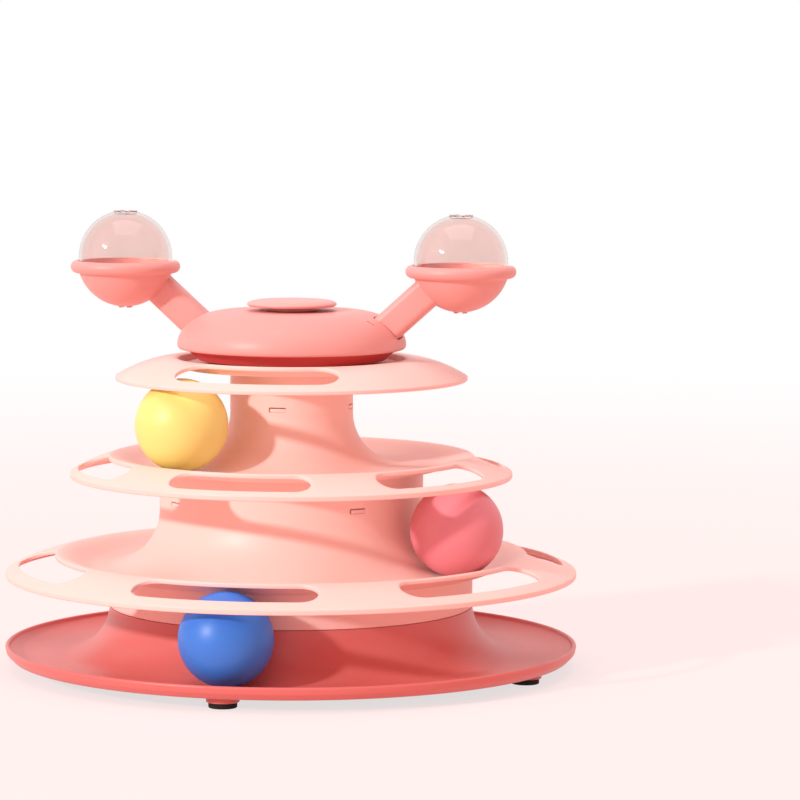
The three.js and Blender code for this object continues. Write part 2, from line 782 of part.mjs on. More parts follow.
// Pan: drawn-in dish under the head, flanged inside the shell's rim, with a hub and four screw posts
const screwSpots = [
  { name: 'rotor_screw_1', x: 0, y: -SHELL_BOSS_AT },
  { name: 'rotor_screw_2', x: 0, y: SHELL_BOSS_AT },
  { name: 'arm_screw_right', x: ARM_SCREW_AT, y: -ARM_ASIDE },
  { name: 'arm_screw_left', x: -ARM_SCREW_AT, y: ARM_ASIDE },
];
let pan = turned([
  [BUSH_FLANGE_R + FIT, 0],
  [PAN_FOOT_R - PAN_CHAMFER, 0],
  [PAN_FOOT_R, PAN_CHAMFER],
  [PAN_R, SHELL_RIM_Z],
  [PAN_R, padTop],
  [PAN_FOOT_R - WALL, padTop],
  [PAN_FOOT_R - WALL, WALL],
  [PAN_HUB_R, WALL],
  [PAN_HUB_R, PAN_HUB_H],
  [BUSH_R + FIT, PAN_HUB_H],
  [BUSH_R + FIT, BUSH_FLANGE_T + SEAT],
  [BUSH_FLANGE_R + FIT, BUSH_FLANGE_T + SEAT],
], HEAD_FACETS);
pan = joinAll(pan, screwSpots.map(({ x, y }) => rod(PAN_PAD_R, WALL / 2, padTop, x, y)));
pan = cutAll(pan, [
  ...screwSpots.map(({ x, y }) => rod(SCREW_R + FIT, -CUT_PAST, padTop + CUT_PAST, x, y)),
  ...screwSpots.map(({ x, y }) => rod(SCREW_HEAD_R + FIT, -CUT_PAST, screwHeadTop, x, y)),
]);
head.add(meshOf('rotor_base', pan, coral));

// Shell: flattened dome with two openings for the arms and two screw bosses inside
const crownWide = SHELL_R - SHELL_FLAT_R;
let shell = turned([
  [SHELL_R - SHELL_RIM_IN, shellRim],
  [SHELL_R, shellEquator],
  ...ellipse(SHELL_FLAT_R, shellEquator, crownWide, SHELL_CROWN_H, 0, 90, 6).slice(1),
  [capBore, shellTop],
  [capBore, shellTop - WALL],
  ...ellipse(SHELL_FLAT_R, shellEquator, crownWide - WALL, SHELL_CROWN_H - WALL, 90, 0, 5),
  [SHELL_R - WALL, shellRim],
], HEAD_FACETS);
const bossSpots = screwSpots.slice(0, 2);
shell = joinAll(shell, bossSpots.map(({ x, y }) => (
  rod(SHELL_BOSS_R, padTop + SEAT, shellTop - WALL / 2, x, y)
)));
const screwHoleTop = screwHeadTop + SCREW_L + SCREW_HOLE_SPARE;
const slitMaker = () => new THREE.BoxGeometry(SHELL_SLIT_W, SHELL_SLIT_T, SHELL_CROWN_H).translate(
  SHELL_SLIT_AT,
  -ARM_ASIDE - ARM_THICK / 2 - SHELL_SLIT_ASIDE,
  shellTop,
);
shell = cutAll(shell, [
  ...bossSpots.map(({ x, y }) => rod(SCREW_R + FIT, 0, screwHoleTop, x, y)),
  ...armOpenings,
  ...bothSides(slitMaker),
]);
head.add(meshOf('rotor_shell', shell, rose));

// Screws driven up through the pan, two into the shell and one into each arm
screwSpots.forEach(({ name, x, y }) => {
  const mesh = meshOf(name, crossScrew(SCREW_R, SCREW_L, SCREW_HEAD_R, SCREW_HEAD_H), steel);
  mesh.position.set(x, y, screwHeadTop - SEAT);
  mesh.rotation.x = Math.PI;
  head.add(mesh);
});

// Cup and arm, one moulding: round bowl with a flange and a seat for the dome, on a sloping bar
const cupLow = CUP_CENTRE_Z - Math.sqrt(CUP_R ** 2 - CUP_HOLE_LIP_R ** 2);
function bowlDeg(radius, height) {
  return 180 + THREE.MathUtils.radToDeg(Math.asin((CUP_CENTRE_Z - height) / radius));
}
function bowlArc(radius, lowR, height, steps) {
  const lowDeg = 270 - THREE.MathUtils.radToDeg(Math.asin(lowR / radius));
  return arc(0, CUP_CENTRE_Z, radius, lowDeg, bowlDeg(radius, height), steps).map(([r, z]) => [-r, z]);
}
// A slot straight across the lip of a hole, cut from front to back
function lipSlot(x, z, lipR, lipH) {
  return block(LIP_SLOT_W, 2 * lipR + CUT_PAST, 2 * lipH, x, 0, z);
}
function armWithCup() {
  const edge = CUP_FLANGE_ROUND;
  const bowl = turned([
    [CUP_HOLE_R, cupLow - CUP_HOLE_LIP_H],
    [CUP_HOLE_LIP_R, cupLow - CUP_HOLE_LIP_H],
    ...bowlArc(CUP_R, CUP_HOLE_LIP_R, cupFlangeLow, 5),
    ...arc(CUP_FLANGE_R - edge, cupFlangeLow + edge, edge, 270, 360, 2),
    ...arc(CUP_FLANGE_R - edge, cupFlangeTop - edge, edge, 0, 90, 2),
    [cupBore, cupFlangeTop],
    [cupBore, cupSeat],
    ...bowlArc(cupInner, CUP_HOLE_R, cupSeat, 4).reverse(),
  ], CUP_FACETS).translate([CUP_AT, 0, 0]);
  const midWall = CUP_R - WALL / 2;
  const hollow = turned([
    [0, CUP_CENTRE_Z - midWall],
    ...bowlArc(midWall, CUP_HOLE_R, cupSeat - WALL / 2, 6),
    [(cupBore + CUP_FLANGE_R) / 2, cupSeat - WALL / 2],
    [(cupBore + CUP_FLANGE_R) / 2, CUP_CENTRE_Z + CUP_R],
    [0, CUP_CENTRE_Z + CUP_R],
  ], CUP_FACETS).translate([CUP_AT, 0, 0]);
  const room = spaceAbove(padTop + SEAT, ARM_ROOT_AT);
  const bar = solidOf(armBar(0)).intersect(room).subtract(hollow);
  return cutAll(bowl.add(bar), [
    rod(SCREW_R + FIT, 0, screwHoleTop, ARM_SCREW_AT, -ARM_ASIDE),
    lipSlot(CUP_AT, cupLow - CUP_HOLE_LIP_H, CUP_HOLE_LIP_R, CUP_HOLE_LIP_H),
  ]);
}
const armRight = meshOf('arm_right', armWithCup(), rose);
head.add(armRight);
const armLeft = meshOf('arm_left', armWithCup(), rose);
armLeft.rotation.z = Math.PI;
head.add(armLeft);

// Clear domes: thin half balls with a straight skirt that drops into the cup's seat
const domeCentre = cupSeat + SEAT + DOME_SKIRT_H;
function clearDome() {
  const inner = DOME_R - DOME_WALL;
  const lipDeg = THREE.MathUtils.radToDeg(Math.acos(DOME_LIP_R / DOME_R));
  const holeDeg = THREE.MathUtils.radToDeg(Math.acos(DOME_HOLE_R / inner));
  const lipTop = domeCentre + Math.sqrt(DOME_R ** 2 - DOME_LIP_R ** 2) + DOME_LIP_H;
  const dome = turned([
    [DOME_R, cupSeat + SEAT],
    ...arc(0, domeCentre, DOME_R, 0, lipDeg, 6),
    [DOME_LIP_R, lipTop],
    [DOME_HOLE_R, lipTop],
    ...arc(0, domeCentre, inner, holeDeg, 0, 5),
    [inner, cupSeat + SEAT],
  ], CUP_FACETS);
  return dome.subtract(lipSlot(0, lipTop, DOME_LIP_R, DOME_LIP_H));
}
const domeRight = meshOf('clear_dome_right', clearDome(), clearPlastic);
domeRight.position.x = CUP_AT;
head.add(domeRight);
const domeLeft = meshOf('clear_dome_left', clearDome(), clearPlastic);
domeLeft.position.x = -CUP_AT;
head.add(domeLeft);

// Centre cap: a disc held off the shell by a shoulder, its hollow stem in the shell's hole
const capLow = shellTop + SEAT + CAP_LIFT;
const capTop = capLow + CAP_T;
const stemLow = shellTop + SEAT - CAP_STEM_H;
const cap = turned([
  [0, capTop],
  ...ellipse(CAP_R - CAP_EDGE_W, capTop - CAP_EDGE_H, CAP_EDGE_W, CAP_EDGE_H, 90, 0, 4),
  [CAP_R - CAP_UNDER_IN, capLow],
  [CAP_SHOULDER_R, capLow],
  [CAP_SHOULDER_R, shellTop + SEAT],
  [CAP_STEM_R, shellTop + SEAT],
  [CAP_STEM_R, stemLow],
  [CAP_STEM_R - WALL, stemLow],
  [CAP_STEM_R - WALL, capLow],
  [0, capLow],
], HEAD_FACETS);
head.add(meshOf('centre_cap', cap, rose));

// Balls: one-piece hollow balls with a small moulding vent, each out from the foot of its flare
function ballSolid() {
  const outer = solidOf(new THREE.SphereGeometry(BALL_R, BALL_FACETS, BALL_RINGS));
  const innerR = BALL_R - BALL_WALL;
  const hollow = solidOf(new THREE.SphereGeometry(innerR, BALL_INNER_FACETS, BALL_INNER_RINGS));
  return outer.subtract(hollow).subtract(rod(BALL_VENT_R, -BALL_R - CUT_PAST, 0, 0, 0));
}
function addBall(name, color, neckR, flare, floor, out, degrees) {
  const trackR = neckR + Math.max(flare, BALL_R + FIT) + out;
  const mesh = meshOf(name, ballSolid(), plastic(color, 0.42));
  mesh.position.set(
    trackR * Math.sin(rad(degrees)),
    -trackR * Math.cos(rad(degrees)),
    floor + SEAT + BALL_R,
  );
  tower.add(mesh);
}
addBall('ball_blue', '#4f7cd0', BASE_NECK_R, BASE_FLARE, baseFloor, BALL_OUT, BLUE_BALL_DEG);
addBall('ball_red', '#f0808d', LOWER_NECK_R, LOWER_FLARE, lowerFloor, BALL_OUT, RED_BALL_DEG);
addBall('ball_yellow', '#fbea7c', MIDDLE_NECK_R, MIDDLE_FLARE, middleFloor, YELLOW_BALL_OUT, YELLOW_BALL_DEG);

export default tower;
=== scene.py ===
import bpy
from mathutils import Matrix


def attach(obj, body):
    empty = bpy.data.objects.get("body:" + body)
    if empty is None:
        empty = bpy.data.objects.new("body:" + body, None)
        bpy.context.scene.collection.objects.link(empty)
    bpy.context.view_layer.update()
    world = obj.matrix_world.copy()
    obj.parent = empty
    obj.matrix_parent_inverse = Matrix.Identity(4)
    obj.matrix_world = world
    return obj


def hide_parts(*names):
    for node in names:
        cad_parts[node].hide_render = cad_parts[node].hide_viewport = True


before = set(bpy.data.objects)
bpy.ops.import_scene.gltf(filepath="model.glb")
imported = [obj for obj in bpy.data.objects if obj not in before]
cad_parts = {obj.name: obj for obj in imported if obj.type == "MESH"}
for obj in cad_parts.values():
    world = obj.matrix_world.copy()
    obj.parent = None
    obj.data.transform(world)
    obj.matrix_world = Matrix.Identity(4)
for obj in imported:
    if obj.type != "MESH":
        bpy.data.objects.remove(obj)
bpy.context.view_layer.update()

import math

import bmesh
import bpy
import numpy as np
from mathutils import Matrix, Vector

# Rubber feet
# Four black rubber pads, each moulded in one with a stem that is pushed up into a
# boss under the tray. They stand in two pairs, each pair 80 degrees apart.
MM = 0.001
WELD = 0.002 * MM
CREASE = 35.0
SMALL_FACETS = 48
FOOT_R = 6.0
FOOT_H = 2.2
FOOT_STEM_R = 2.5
FOOT_TOP = 5.1
FOOT_DIMPLE_R = 1.6
FOOT_DIMPLE_H = 0.35
FOOT_RING_R = 110.5
FOOT_DEGREES = (-14.8, 65.2)
FOOT_PAIRS = 2


class Wire:
    """A node's output, on which plain arithmetic adds the Math nodes that it needs."""

    def __init__(self, bench, socket):
        self.bench = bench
        self.socket = socket

    def sum(self, operation, first, second):
        return self.bench.node("ShaderNodeMath", {"operation": operation}, {0: first, 1: second})

    def __add__(self, other):
        return self.sum("ADD", self, other)

    def __radd__(self, other):
        return self.sum("ADD", other, self)

    def __sub__(self, other):
        return self.sum("SUBTRACT", self, other)

    def __rsub__(self, other):
        return self.sum("SUBTRACT", other, self)

    def __mul__(self, other):
        return self.sum("MULTIPLY", self, other)

    def __rmul__(self, other):
        return self.sum("MULTIPLY", other, self)

    def __truediv__(self, other):
        return self.sum("DIVIDE", self, other)

    def __rtruediv__(self, other):
        return self.sum("DIVIDE", other, self)

    def most(self, other):
        return self.sum("MAXIMUM", self, other)


class Bench:
    """A node tree being put together; a list given to a socket links each of its wires."""

    def __init__(self, tree):
        self.tree = tree

    def node(self, kind, settings, sockets, output=0):
        made = self.tree.nodes.new(kind)
        for name, value in settings.items():
            setattr(made, name, value)
        for key, value in sockets.items():
            for one in value if isinstance(value, list) else [value]:
                if isinstance(one, Wire):
                    self.tree.links.new(one.socket, made.inputs[key])
                else:
                    made.inputs[key].default_value = one
        return Wire(self, made.outputs[output])

    def noise(self, place, scale, detail=2.0):
        return self.node("ShaderNodeTexNoise", {}, {"Vector": place, "Scale": scale, "Detail": detail})

    def blend(self, share, first, second):
        return self.node("ShaderNodeMix", {"data_type": "RGBA"}, {0: share, 6: first, 7: second}, 2)

    def step(self, value, low, high, to_low=0.0, to_high=1.0):
        sockets = {"Value": value, 1: low, 2: high, 3: to_low, 4: to_high}
        return self.node("ShaderNodeMapRange", {"interpolation_type": "SMOOTHSTEP"}, sockets)


class Finish(Bench):
    """A material of one Principled surface, its plain values set straight on the shader."""

    def __init__(self, name, **values):
        self.material = bpy.data.materials.new(name)
        self.material.use_nodes = True
        super().__init__(self.material.node_tree)
        self.shader = self.tree.nodes["Principled BSDF"]
        self.place = self.node("ShaderNodeTexCoord", {}, {}, "Object")
        for key, value in values.items():
            self.feed(key.replace("_", " "), value)

    def feed(self, name, value):
        if isinstance(value, Wire):
            self.tree.links.new(value.socket, self.shader.inputs[name])
        else:
            self.shader.inputs[name].default_value = value

    def grain(self, height, deep, strength):
        sockets = {"Height": height, "Distance": deep, "Strength": strength}
        self.feed("Normal", self.node("ShaderNodeBump", {}, sockets))


def colour(red, green, blue, level=1.0):
    """A shader colour from the 0 to 255 values that a paint card gives."""
    parts = [c / 255 for c in (red, green, blue)]
    parts = [c / 12.92 if c <= 0.04045 else ((c + 0.055) / 1.055) ** 2.4 for c in parts]
    return (*[min(1.0, c * level) for c in parts], 1.0)


def rounding_tree():
    """Copies a moulding's repeated faces round the axis and welds them to its plain rings."""
    tree = bpy.data.node_groups.new("round_the_axis", "GeometryNodeTree")
    sockets = {}
    for name, kind in (
        ("Geometry", "NodeSocketGeometry"),
        ("Brim repeats", "NodeSocketInt"),
        ("Neck repeats", "NodeSocketInt"),
        ("Weld", "NodeSocketFloat"),
        ("Finish", "NodeSocketMaterial"),
    ):
        sockets[name] = tree.interface.new_socket(name, in_out="INPUT", socket_type=kind).identifier
    tree.interface.new_socket("Geometry", in_out="OUTPUT", socket_type="NodeSocketGeometry")
    bench = Bench(tree)
    given = tree.nodes.new("NodeGroupInput")
    copies = bench.node("GeometryNodeInputNamedAttribute", {"data_type": "INT"}, {"Name": "repeats"})
    index = bench.node("GeometryNodeInputIndex", {}, {})
    rest = Wire(bench, given.outputs["Geometry"])
    rings = []
    for name in ("Brim repeats", "Neck repeats"):
        count = Wire(bench, given.outputs[name])
        equal = {"data_type": "INT", "operation": "EQUAL"}
        chosen = bench.node("FunctionNodeCompare", equal, {2: copies, 3: count})
        parted = bench.node("GeometryNodeSeparateGeometry", {"domain": "FACE"}, {0: rest, 1: chosen})
        rest = Wire(bench, parted.socket.node.outputs["Inverted"])
        spots = bench.node("GeometryNodePoints", {}, {"Count": count})
        turn = {"Axis": (0, 0, 1), "Angle": index * math.tau / count}
        turn = bench.node("FunctionNodeAxisAngleToRotation", {}, turn)
        sockets_of = {"Points": spots, "Instance": parted, "Rotation": turn}
        rings.append(bench.node("GeometryNodeInstanceOnPoints", {}, sockets_of))
    whole = bench.node("GeometryNodeJoinGeometry", {}, {"Geometry": [rest, *rings]})
    whole = bench.node("GeometryNodeRealizeInstances", {}, {"Geometry": whole})
    weld = Wire(bench, given.outputs["Weld"])
    whole = bench.node("GeometryNodeMergeByDistance", {}, {"Geometry": whole, "Distance": weld})
    whole = bench.node("GeometryNodeSetShadeSmooth", {}, {"Geometry": whole})
    finish = Wire(bench, given.outputs["Finish"])
    whole = bench.node("GeometryNodeSetMaterial", {}, {"Geometry": whole, "Material": finish})
    tree.links.new(whole.socket, tree.nodes.new("NodeGroupOutput").inputs[0])
    return tree, sockets


ROUND, ROUND_SOCKETS = rounding_tree()


def rounded(corners, steps=5):
    """A (radius, height) line whose corners with a third number are rounded by that radius."""
    line = []
    for i, (r, z, *bend) in enumerate(corners):
        here = Vector((r, z))
        if not bend:
            line.append((r, z))
            continue
        back = (Vector(corners[i - 1][:2]) - here).normalized()
        on = (Vector(corners[(i + 1) % len(corners)][:2]) - here).normalized()
        half = back.angle(on) / 2
        reach = bend[0] / math.tan(half)
        middle = here + (back + on).normalized() * bend[0] / math.sin(half)
        start = here + back * reach - middle
        end = here + on * reach - middle
        sweep = math.pi - 2 * half
        line.append(tuple(middle + start + back * bend[0] * 0.3))
        for k in range(steps + 1):
            t = k / steps
            spoke = (start * math.sin((1 - t) * sweep) + end * math.sin(t * sweep)) / math.sin(sweep)
            line.append(tuple(middle + spoke))
        line.append(tuple(middle + end + on * bend[0] * 0.3))
    return line


def arc(r, z, wide, high, start, end, steps):
    """Points of a round or oval bend about (r, z), angles in degrees."""
    turns = np.radians(np.linspace(start, end, steps + 1))
    return [(r + wide * math.cos(t), z + high * math.sin(t)) for t in turns]


def turned(line, facets, closed=True, repeats=1):
    """A part made by sweeping a (radius, height) line round the axis."""
    line = np.array(line, float)
    turn = np.arange(facets) * math.tau / facets
    r, z = line[:, 0, None], line[:, 1, None]
    points = np.stack([r * np.cos(turn), r * np.sin(turn), z + 0 * turn], -1).reshape(-1, 3)
    faces = []
    for i in range(len(line) if closed else len(line) - 1):
        j = (i + 1) % len(line)
        for k in range(facets):
            m = (k + 1) % facets
            faces.append((i * facets + k, j * facets + k, j * facets + m, i * facets + m))
    return points, faces, repeats


def moved(part, x=0.0, y=0.0, z=0.0, turn=0.0, over=0.0):
    """The part tipped over about X, shifted, then turned about the tower's axis, in degrees."""
    points, faces, repeats = part
    tip = Matrix.Rotation(math.radians(over), 4, "X")
    place = Matrix.Rotation(math.radians(turn), 4, "Z") @ Matrix.Translation((x, y, z)) @ tip
    place = np.array(place)
    return points @ place[:3, :3].T + place[:3, 3], faces, repeats


def settle(piece):
    """Makes a piece's modifiers its plain mesh, closed, faces outwards and creased at sharp edges."""
    depsgraph = bpy.context.evaluated_depsgraph_get()
    mesh = bpy.data.meshes.new_from_object(piece.evaluated_get(depsgraph))
    piece.modifiers.clear()
    piece.data = mesh
    mesh.name = piece.name
    work = bmesh.new()
    work.from_mesh(mesh)
    bmesh.ops.remove_doubles(work, verts=work.verts, dist=WELD)
    bmesh.ops.recalc_face_normals(work, faces=work.faces)
    work.to_mesh(mesh)
    work.free()
    if "repeats" in mesh.attributes:
        mesh.attributes.remove(mesh.attributes["repeats"])
    mesh.set_sharp_from_angle(angle=math.radians(CREASE))
    return piece


def moulded(name, finish, parts, brim=0, neck=0):
    """A piece made of parts drawn in millimetres, each (points, faces, copies round the axis)."""
    points = np.concatenate([p for p, _, _ in parts]) * MM
    faces, copies, first = [], [], 0
    for p, f, count in parts:
        faces += [tuple(first + i for i in face) for face in f]
        copies += [count] * len(f)
        first += len(p)
    mesh = bpy.data.meshes.new(name)
    mesh.from_pydata(points.tolist(), [], faces)
    mesh.materials.append(finish.material)
    mesh.attributes.new("repeats", "INT", "FACE").data.foreach_set("value", copies)
    piece = bpy.data.objects.new(name, mesh)
    bpy.context.scene.collection.objects.link(piece)
    modifier = piece.modifiers.new("round", "NODES")
    modifier.node_group = ROUND
    modifier[ROUND_SOCKETS["Brim repeats"]] = brim
    modifier[ROUND_SOCKETS["Neck repeats"]] = neck
    modifier[ROUND_SOCKETS["Weld"]] = WELD
    modifier[ROUND_SOCKETS["Finish"]] = finish.material
    return settle(piece)


def fixed(piece, body, slot, *nodes):
    """Puts a finished piece on its body, in place of its solids."""
    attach(piece, body)
    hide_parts(*nodes)


rubber = Finish("matt_rubber", Roughness=0.78, Specular_IOR_Level=0.35)
speck = rubber.noise(rubber.place, 900.0, 3.0)
dust = rubber.noise(rubber.place, 160.0)
rubber.feed("Base Color", rubber.blend(rubber.step(dust, 0.55, 0.8), colour(27, 25, 25), colour(44, 39, 38)))
rubber.feed("Roughness", 0.7 + 0.2 * speck)
rubber.grain(speck, 0.12 * MM, 0.5)

foot = turned(rounded([
    (0, FOOT_DIMPLE_H),
    (FOOT_DIMPLE_R - 0.3, FOOT_DIMPLE_H, 0.15),
    (FOOT_DIMPLE_R, 0, 0.1),
    (FOOT_R, 0, 0.5),
    (FOOT_R, FOOT_H, 0.3),
    (FOOT_STEM_R, FOOT_H, 0.2),
    (FOOT_STEM_R, FOOT_TOP, 0.4),
    (0, FOOT_TOP),
]), SMALL_FACETS, closed=False, repeats=FOOT_PAIRS)
feet = [moved(foot, y=-FOOT_RING_R, turn=degrees) for degrees in FOOT_DEGREES]
rubber_feet = moulded("rubber_feet", rubber, feet, brim=FOOT_PAIRS)
fixed(rubber_feet, "tower", "black_rubber", *[f"rubber_foot_{i}" for i in (1, 2, 3, 4)])

# Base tray
# Coral dish moulded in one: a flat track for the blue ball that dishes up to a thin lip and
# flares up to a short neck. Four bosses underneath take the stems of the feet.
ROUND_FACETS = 192
WALL = 1.8
BASE_R = 125.0
BASE_FLOOR_R = 106.0
BASE_UNDER_R = 110.0
BASE_UNDER = 5.2
BASE_FLOOR = 7.0
BASE_LIP_TOP = 11.1
BASE_LIP = 0.95
BASE_DISH = 12.0
BASE_NECK_R = 79.4
BASE_FLARE = 22.0
BASE_FLARE_R = BASE_NECK_R + BASE_FLARE
BASE_FLARE_Z = BASE_FLOOR + BASE_FLARE
BASE_NECK_TOP = 27.7
BASE_TURN = math.degrees(math.asin((BASE_FLARE_Z - BASE_NECK_TOP) / BASE_FLARE))
BASE_UNDER_FLARE = BASE_FLARE + WALL
BASE_UNDER_TURN = math.degrees(math.asin((BASE_FLARE_Z - BASE_NECK_TOP) / BASE_UNDER_FLARE))
BOSS_R = 7.0
BOSS_LOW = 2.35
BOSS_BORE_R = 2.8
BOSS_BORE_TOP = 5.4


def plastic(name, paint, roughness, wear=(0.0, 0.001)):
    """Satin moulded plastic: slow shifts of tint, a fine grain, and rings worn between two radii."""
    finish = Finish(name)
    cloud = finish.noise(finish.place, 14.0, 3.0)
    grain = finish.noise(finish.place, 2600.0, 2.0)
    flat = finish.node("ShaderNodeVectorMath", {"operation": "MULTIPLY"}, {0: finish.place, 1: (1, 1, 0)})
    out = finish.node("ShaderNodeVectorMath", {"operation": "LENGTH"}, {0: flat}, "Value")
    rings = {"W": out, "Scale": 1400.0, "Detail": 2.0}
    lines = finish.node("ShaderNodeTexNoise", {"noise_dimensions": "1D"}, rings)
    patchy = finish.step(finish.noise(finish.place, 55.0, 3.0), 0.42, 0.68)
    near, far = (edge * MM for edge in wear)
    fade = 6 * MM
    worn = finish.step(out, near, near + fade) * (1 - finish.step(out, far - fade, far)) * patchy
    tint = finish.blend(cloud, colour(*paint, level=0.955), colour(*paint, level=1.03))
    finish.feed("Base Color", finish.blend(worn * lines * 0.16, tint, colour(*paint, level=1.1)))
    finish.feed("Roughness", roughness - 0.06 + 0.1 * cloud + 0.05 * grain + worn * (lines - 0.5) * 0.22)
    finish.grain(grain + worn * lines * 0.8, 0.035 * MM, 0.6)
    return finish


coral = plastic("satin_coral", (219, 118, 113), 0.35, wear=(98.0, 116.0))

lip_r, lip_z = BASE_R - BASE_LIP, BASE_LIP_TOP - BASE_LIP
tray_line = rounded([
    *arc(BASE_FLARE_R, BASE_FLARE_Z, BASE_FLARE, BASE_FLARE, 180 + BASE_TURN, 270, 28),
    (BASE_FLOOR_R, BASE_FLOOR),
    *arc(lip_r - BASE_LIP - BASE_DISH, lip_z, BASE_DISH, lip_z - BASE_FLOOR, 270, 360, 16),
    *arc(lip_r, lip_z, BASE_LIP, BASE_LIP, 165, 0, 10),
    (BASE_R - 0.5, BASE_UNDER + 2.7, 1.4),
    (BASE_R - 3.2, BASE_UNDER, 1.6),
    (BASE_UNDER_R, BASE_UNDER),
    *arc(BASE_FLARE_R, BASE_FLARE_Z, BASE_UNDER_FLARE, BASE_UNDER_FLARE, 270, 180 + BASE_UNDER_TURN, 28),
])
base_tray = moulded("tray_moulding", coral, [turned(tray_line, ROUND_FACETS)])


def carve(piece, *steps):
    """Cuts other pieces out of one, adds them or keeps what they share; the others are used up."""
    for operation, other in steps:
        modifier = piece.modifiers.new(operation.lower(), "BOOLEAN")
        modifier.operation = operation
        modifier.solver = "EXACT"
        modifier.object = other
        settle(piece)
        bpy.data.objects.remove(other)
    return piece


boss = turned(rounded([
    (0, BOSS_BORE_TOP),
    (BOSS_BORE_R, BOSS_BORE_TOP),
    (BOSS_BORE_R, BOSS_LOW, 0.3),
    (BOSS_R, BOSS_LOW, 0.4),
    (BOSS_R, BASE_UNDER + WALL / 2),
    (0, BASE_UNDER + WALL / 2),
]), SMALL_FACETS, closed=False, repeats=FOOT_PAIRS)
bosses = [moved(boss, y=-FOOT_RING_R, turn=degrees) for degrees in FOOT_DEGREES]
bosses = moulded("foot_bosses", coral, bosses, brim=FOOT_PAIRS)
carve(base_tray, ("UNION", bosses))
fixed(base_tray, "tower", "coral_plastic", "base_tray")

# Lower tier
# Pale pink moulding: a ball track with a crest, a brim with six long slots, and a tall neck
# with four snap windows. Its skirt stands on the tray's neck and a spigot drops inside it.
LOWER_FLOOR = 45.6
LOWER_NECK_R = 57.6
LOWER_NECK_TOP = 42.45
LOWER_SNAP = 29.4
SPIGOT_R = 77.336
SKIRT_LOW = -17.75
SPIGOT_LOW = -24.75
PALE_PINK = (254, 220, 211)
PALE_ROUGH = 0.44
BRIM_WALL = 1.9
BRIM_ROWS = 8
SLOT_FIRST = -15.0
TIER_SLOTS = 6
SNAP_COUNT = 4
SNAP_LONG = 7.6
SNAP_HIGH = 2.2
SNAP_CORNER = 0.35
SNAP_EDGE = 0.2
SLOT_EDGE = 0.5


def pierced(spot, columns, rows, long, wide, hole, wall, edge, aside=0.0):
    """Both faces of a stretch of wall with one round-cornered hole through it.

    spot(a, b, depth) places a point a along, b across and depth into the wall; long and wide are
    half the stretch, and hole is half the length and width of the hole and its corner radius.
    """
    along = np.linspace(-long, long, columns + 1)
    across = np.linspace(-wide, wide, rows + 1)
    border = np.array([
        *[(a, -wide) for a in along[:-1]],
        *[(long, b) for b in across[:-1]],
        *[(a, wide) for a in along[:0:-1]],
        *[(-long, b) for b in across[:0:-1]],
    ])
    half_long, half_wide, corner = hole
    near = border * (half_long / long, half_wide / wide)
    inset = np.array([half_long - corner, half_wide - corner])
    core = np.clip(near, -inset, inset)
    normal = near - core
    normal /= np.linalg.norm(normal, axis=1)[:, None]
    lip = core + normal * corner + (aside, 0)
    shoulder = lip + normal * edge
    rings = [(border + (shoulder - border) * f, 0.0) for f in (0, 0.3, 0.55, 0.75, 0.9, 1.0)]
    for bend in np.radians((22.5, 45, 67.5, 90)):
        rings.append((lip + normal * edge * (1 - math.sin(bend)), edge * (1 - math.cos(bend))))
    rings += [(flat, wall - depth) for flat, depth in reversed(rings)]
    points = np.array([spot(a, b, depth) for flat, depth in rings for a, b in flat])
    count = len(border)
    faces = []
    for i in range(len(rings) - 1):
        for k in range(count):
            m = (k + 1) % count
            faces.append((i * count + k, i * count + m, (i + 1) * count + m, (i + 1) * count + k))
    return points, faces


def plain(spot, along, across, depth):
    """One unbroken face of a stretch of wall."""
    points = np.array([spot(a, b, depth) for a in along for b in across])
    n = len(across)
    faces = []
    for i in range(len(along) - 1):
        for k in range(n - 1):
            faces.append((i * n + k, (i + 1) * n + k, (i + 1) * n + k + 1, i * n + k + 1))
    return points, faces


def band(spot, radius, repeats, columns, rows, wide, hole, wall, edge, aside=0.0):
    """One of the equal sectors of a band round the axis, with a hole in its middle."""
    step = math.tau / ROUND_FACETS * radius
    side = (ROUND_FACETS // repeats - columns) // 2
    long = step * columns / 2
    parts = [(*pierced(spot, columns, rows, long, wide, hole, wall, edge, aside), repeats)]
    if side:
        across = np.linspace(-wide, wide, rows + 1)
        for sign in (-1, 1):
            along = sign * (long + step * np.arange(side + 1))
            for depth in (0.0, wall):
                parts.append((*plain(spot, along, across, depth), repeats))
    return parts


def front(degrees):
    """An angle from the front, positive to the right, as a turn from +X."""
    return math.radians(degrees - 90)


def brim_band(top, inner, outer, first, repeats, columns, slot_inner, slot_outer, slot_degrees):
    """A brim's ring with its long slots; top(r) is the height of the brim's upper face."""
    middle = (inner + outer) / 2
    slot_middle = (slot_inner + slot_outer) / 2
    half = math.radians(slot_degrees / 2) * slot_middle
    lift = slot_middle - middle

    def spot(a, b, depth):
        r = middle + b + lift * (1 - (2 * b / (outer - inner)) ** 2)
        turn = front(first) + a / middle
        return r * math.cos(turn), r * math.sin(turn), top(r) - depth

    half_wide = (slot_outer - slot_inner) / 2
    hole = (half * middle / slot_middle, half_wide, half_wide)
    return band(spot, middle, repeats, columns, BRIM_ROWS, (outer - inner) / 2, hole, BRIM_WALL, SLOT_EDGE)


def neck_band(radius, low, high, sector, degrees):
    """A neck's ring with its snap windows, each at its own angle within its sector."""
    middle = (low + high) / 2

    def spot(a, b, depth):
        r = radius - depth
        turn = front(sector) + a / radius
        return r * math.cos(turn), r * math.sin(turn), middle + b

    hole = (SNAP_LONG / 2, SNAP_HIGH / 2, SNAP_CORNER)
    aside = math.radians(degrees - sector) * radius
    return band(spot, radius, SNAP_COUNT, 16, 6, (high - low) / 2, hole, WALL, SNAP_EDGE, aside)


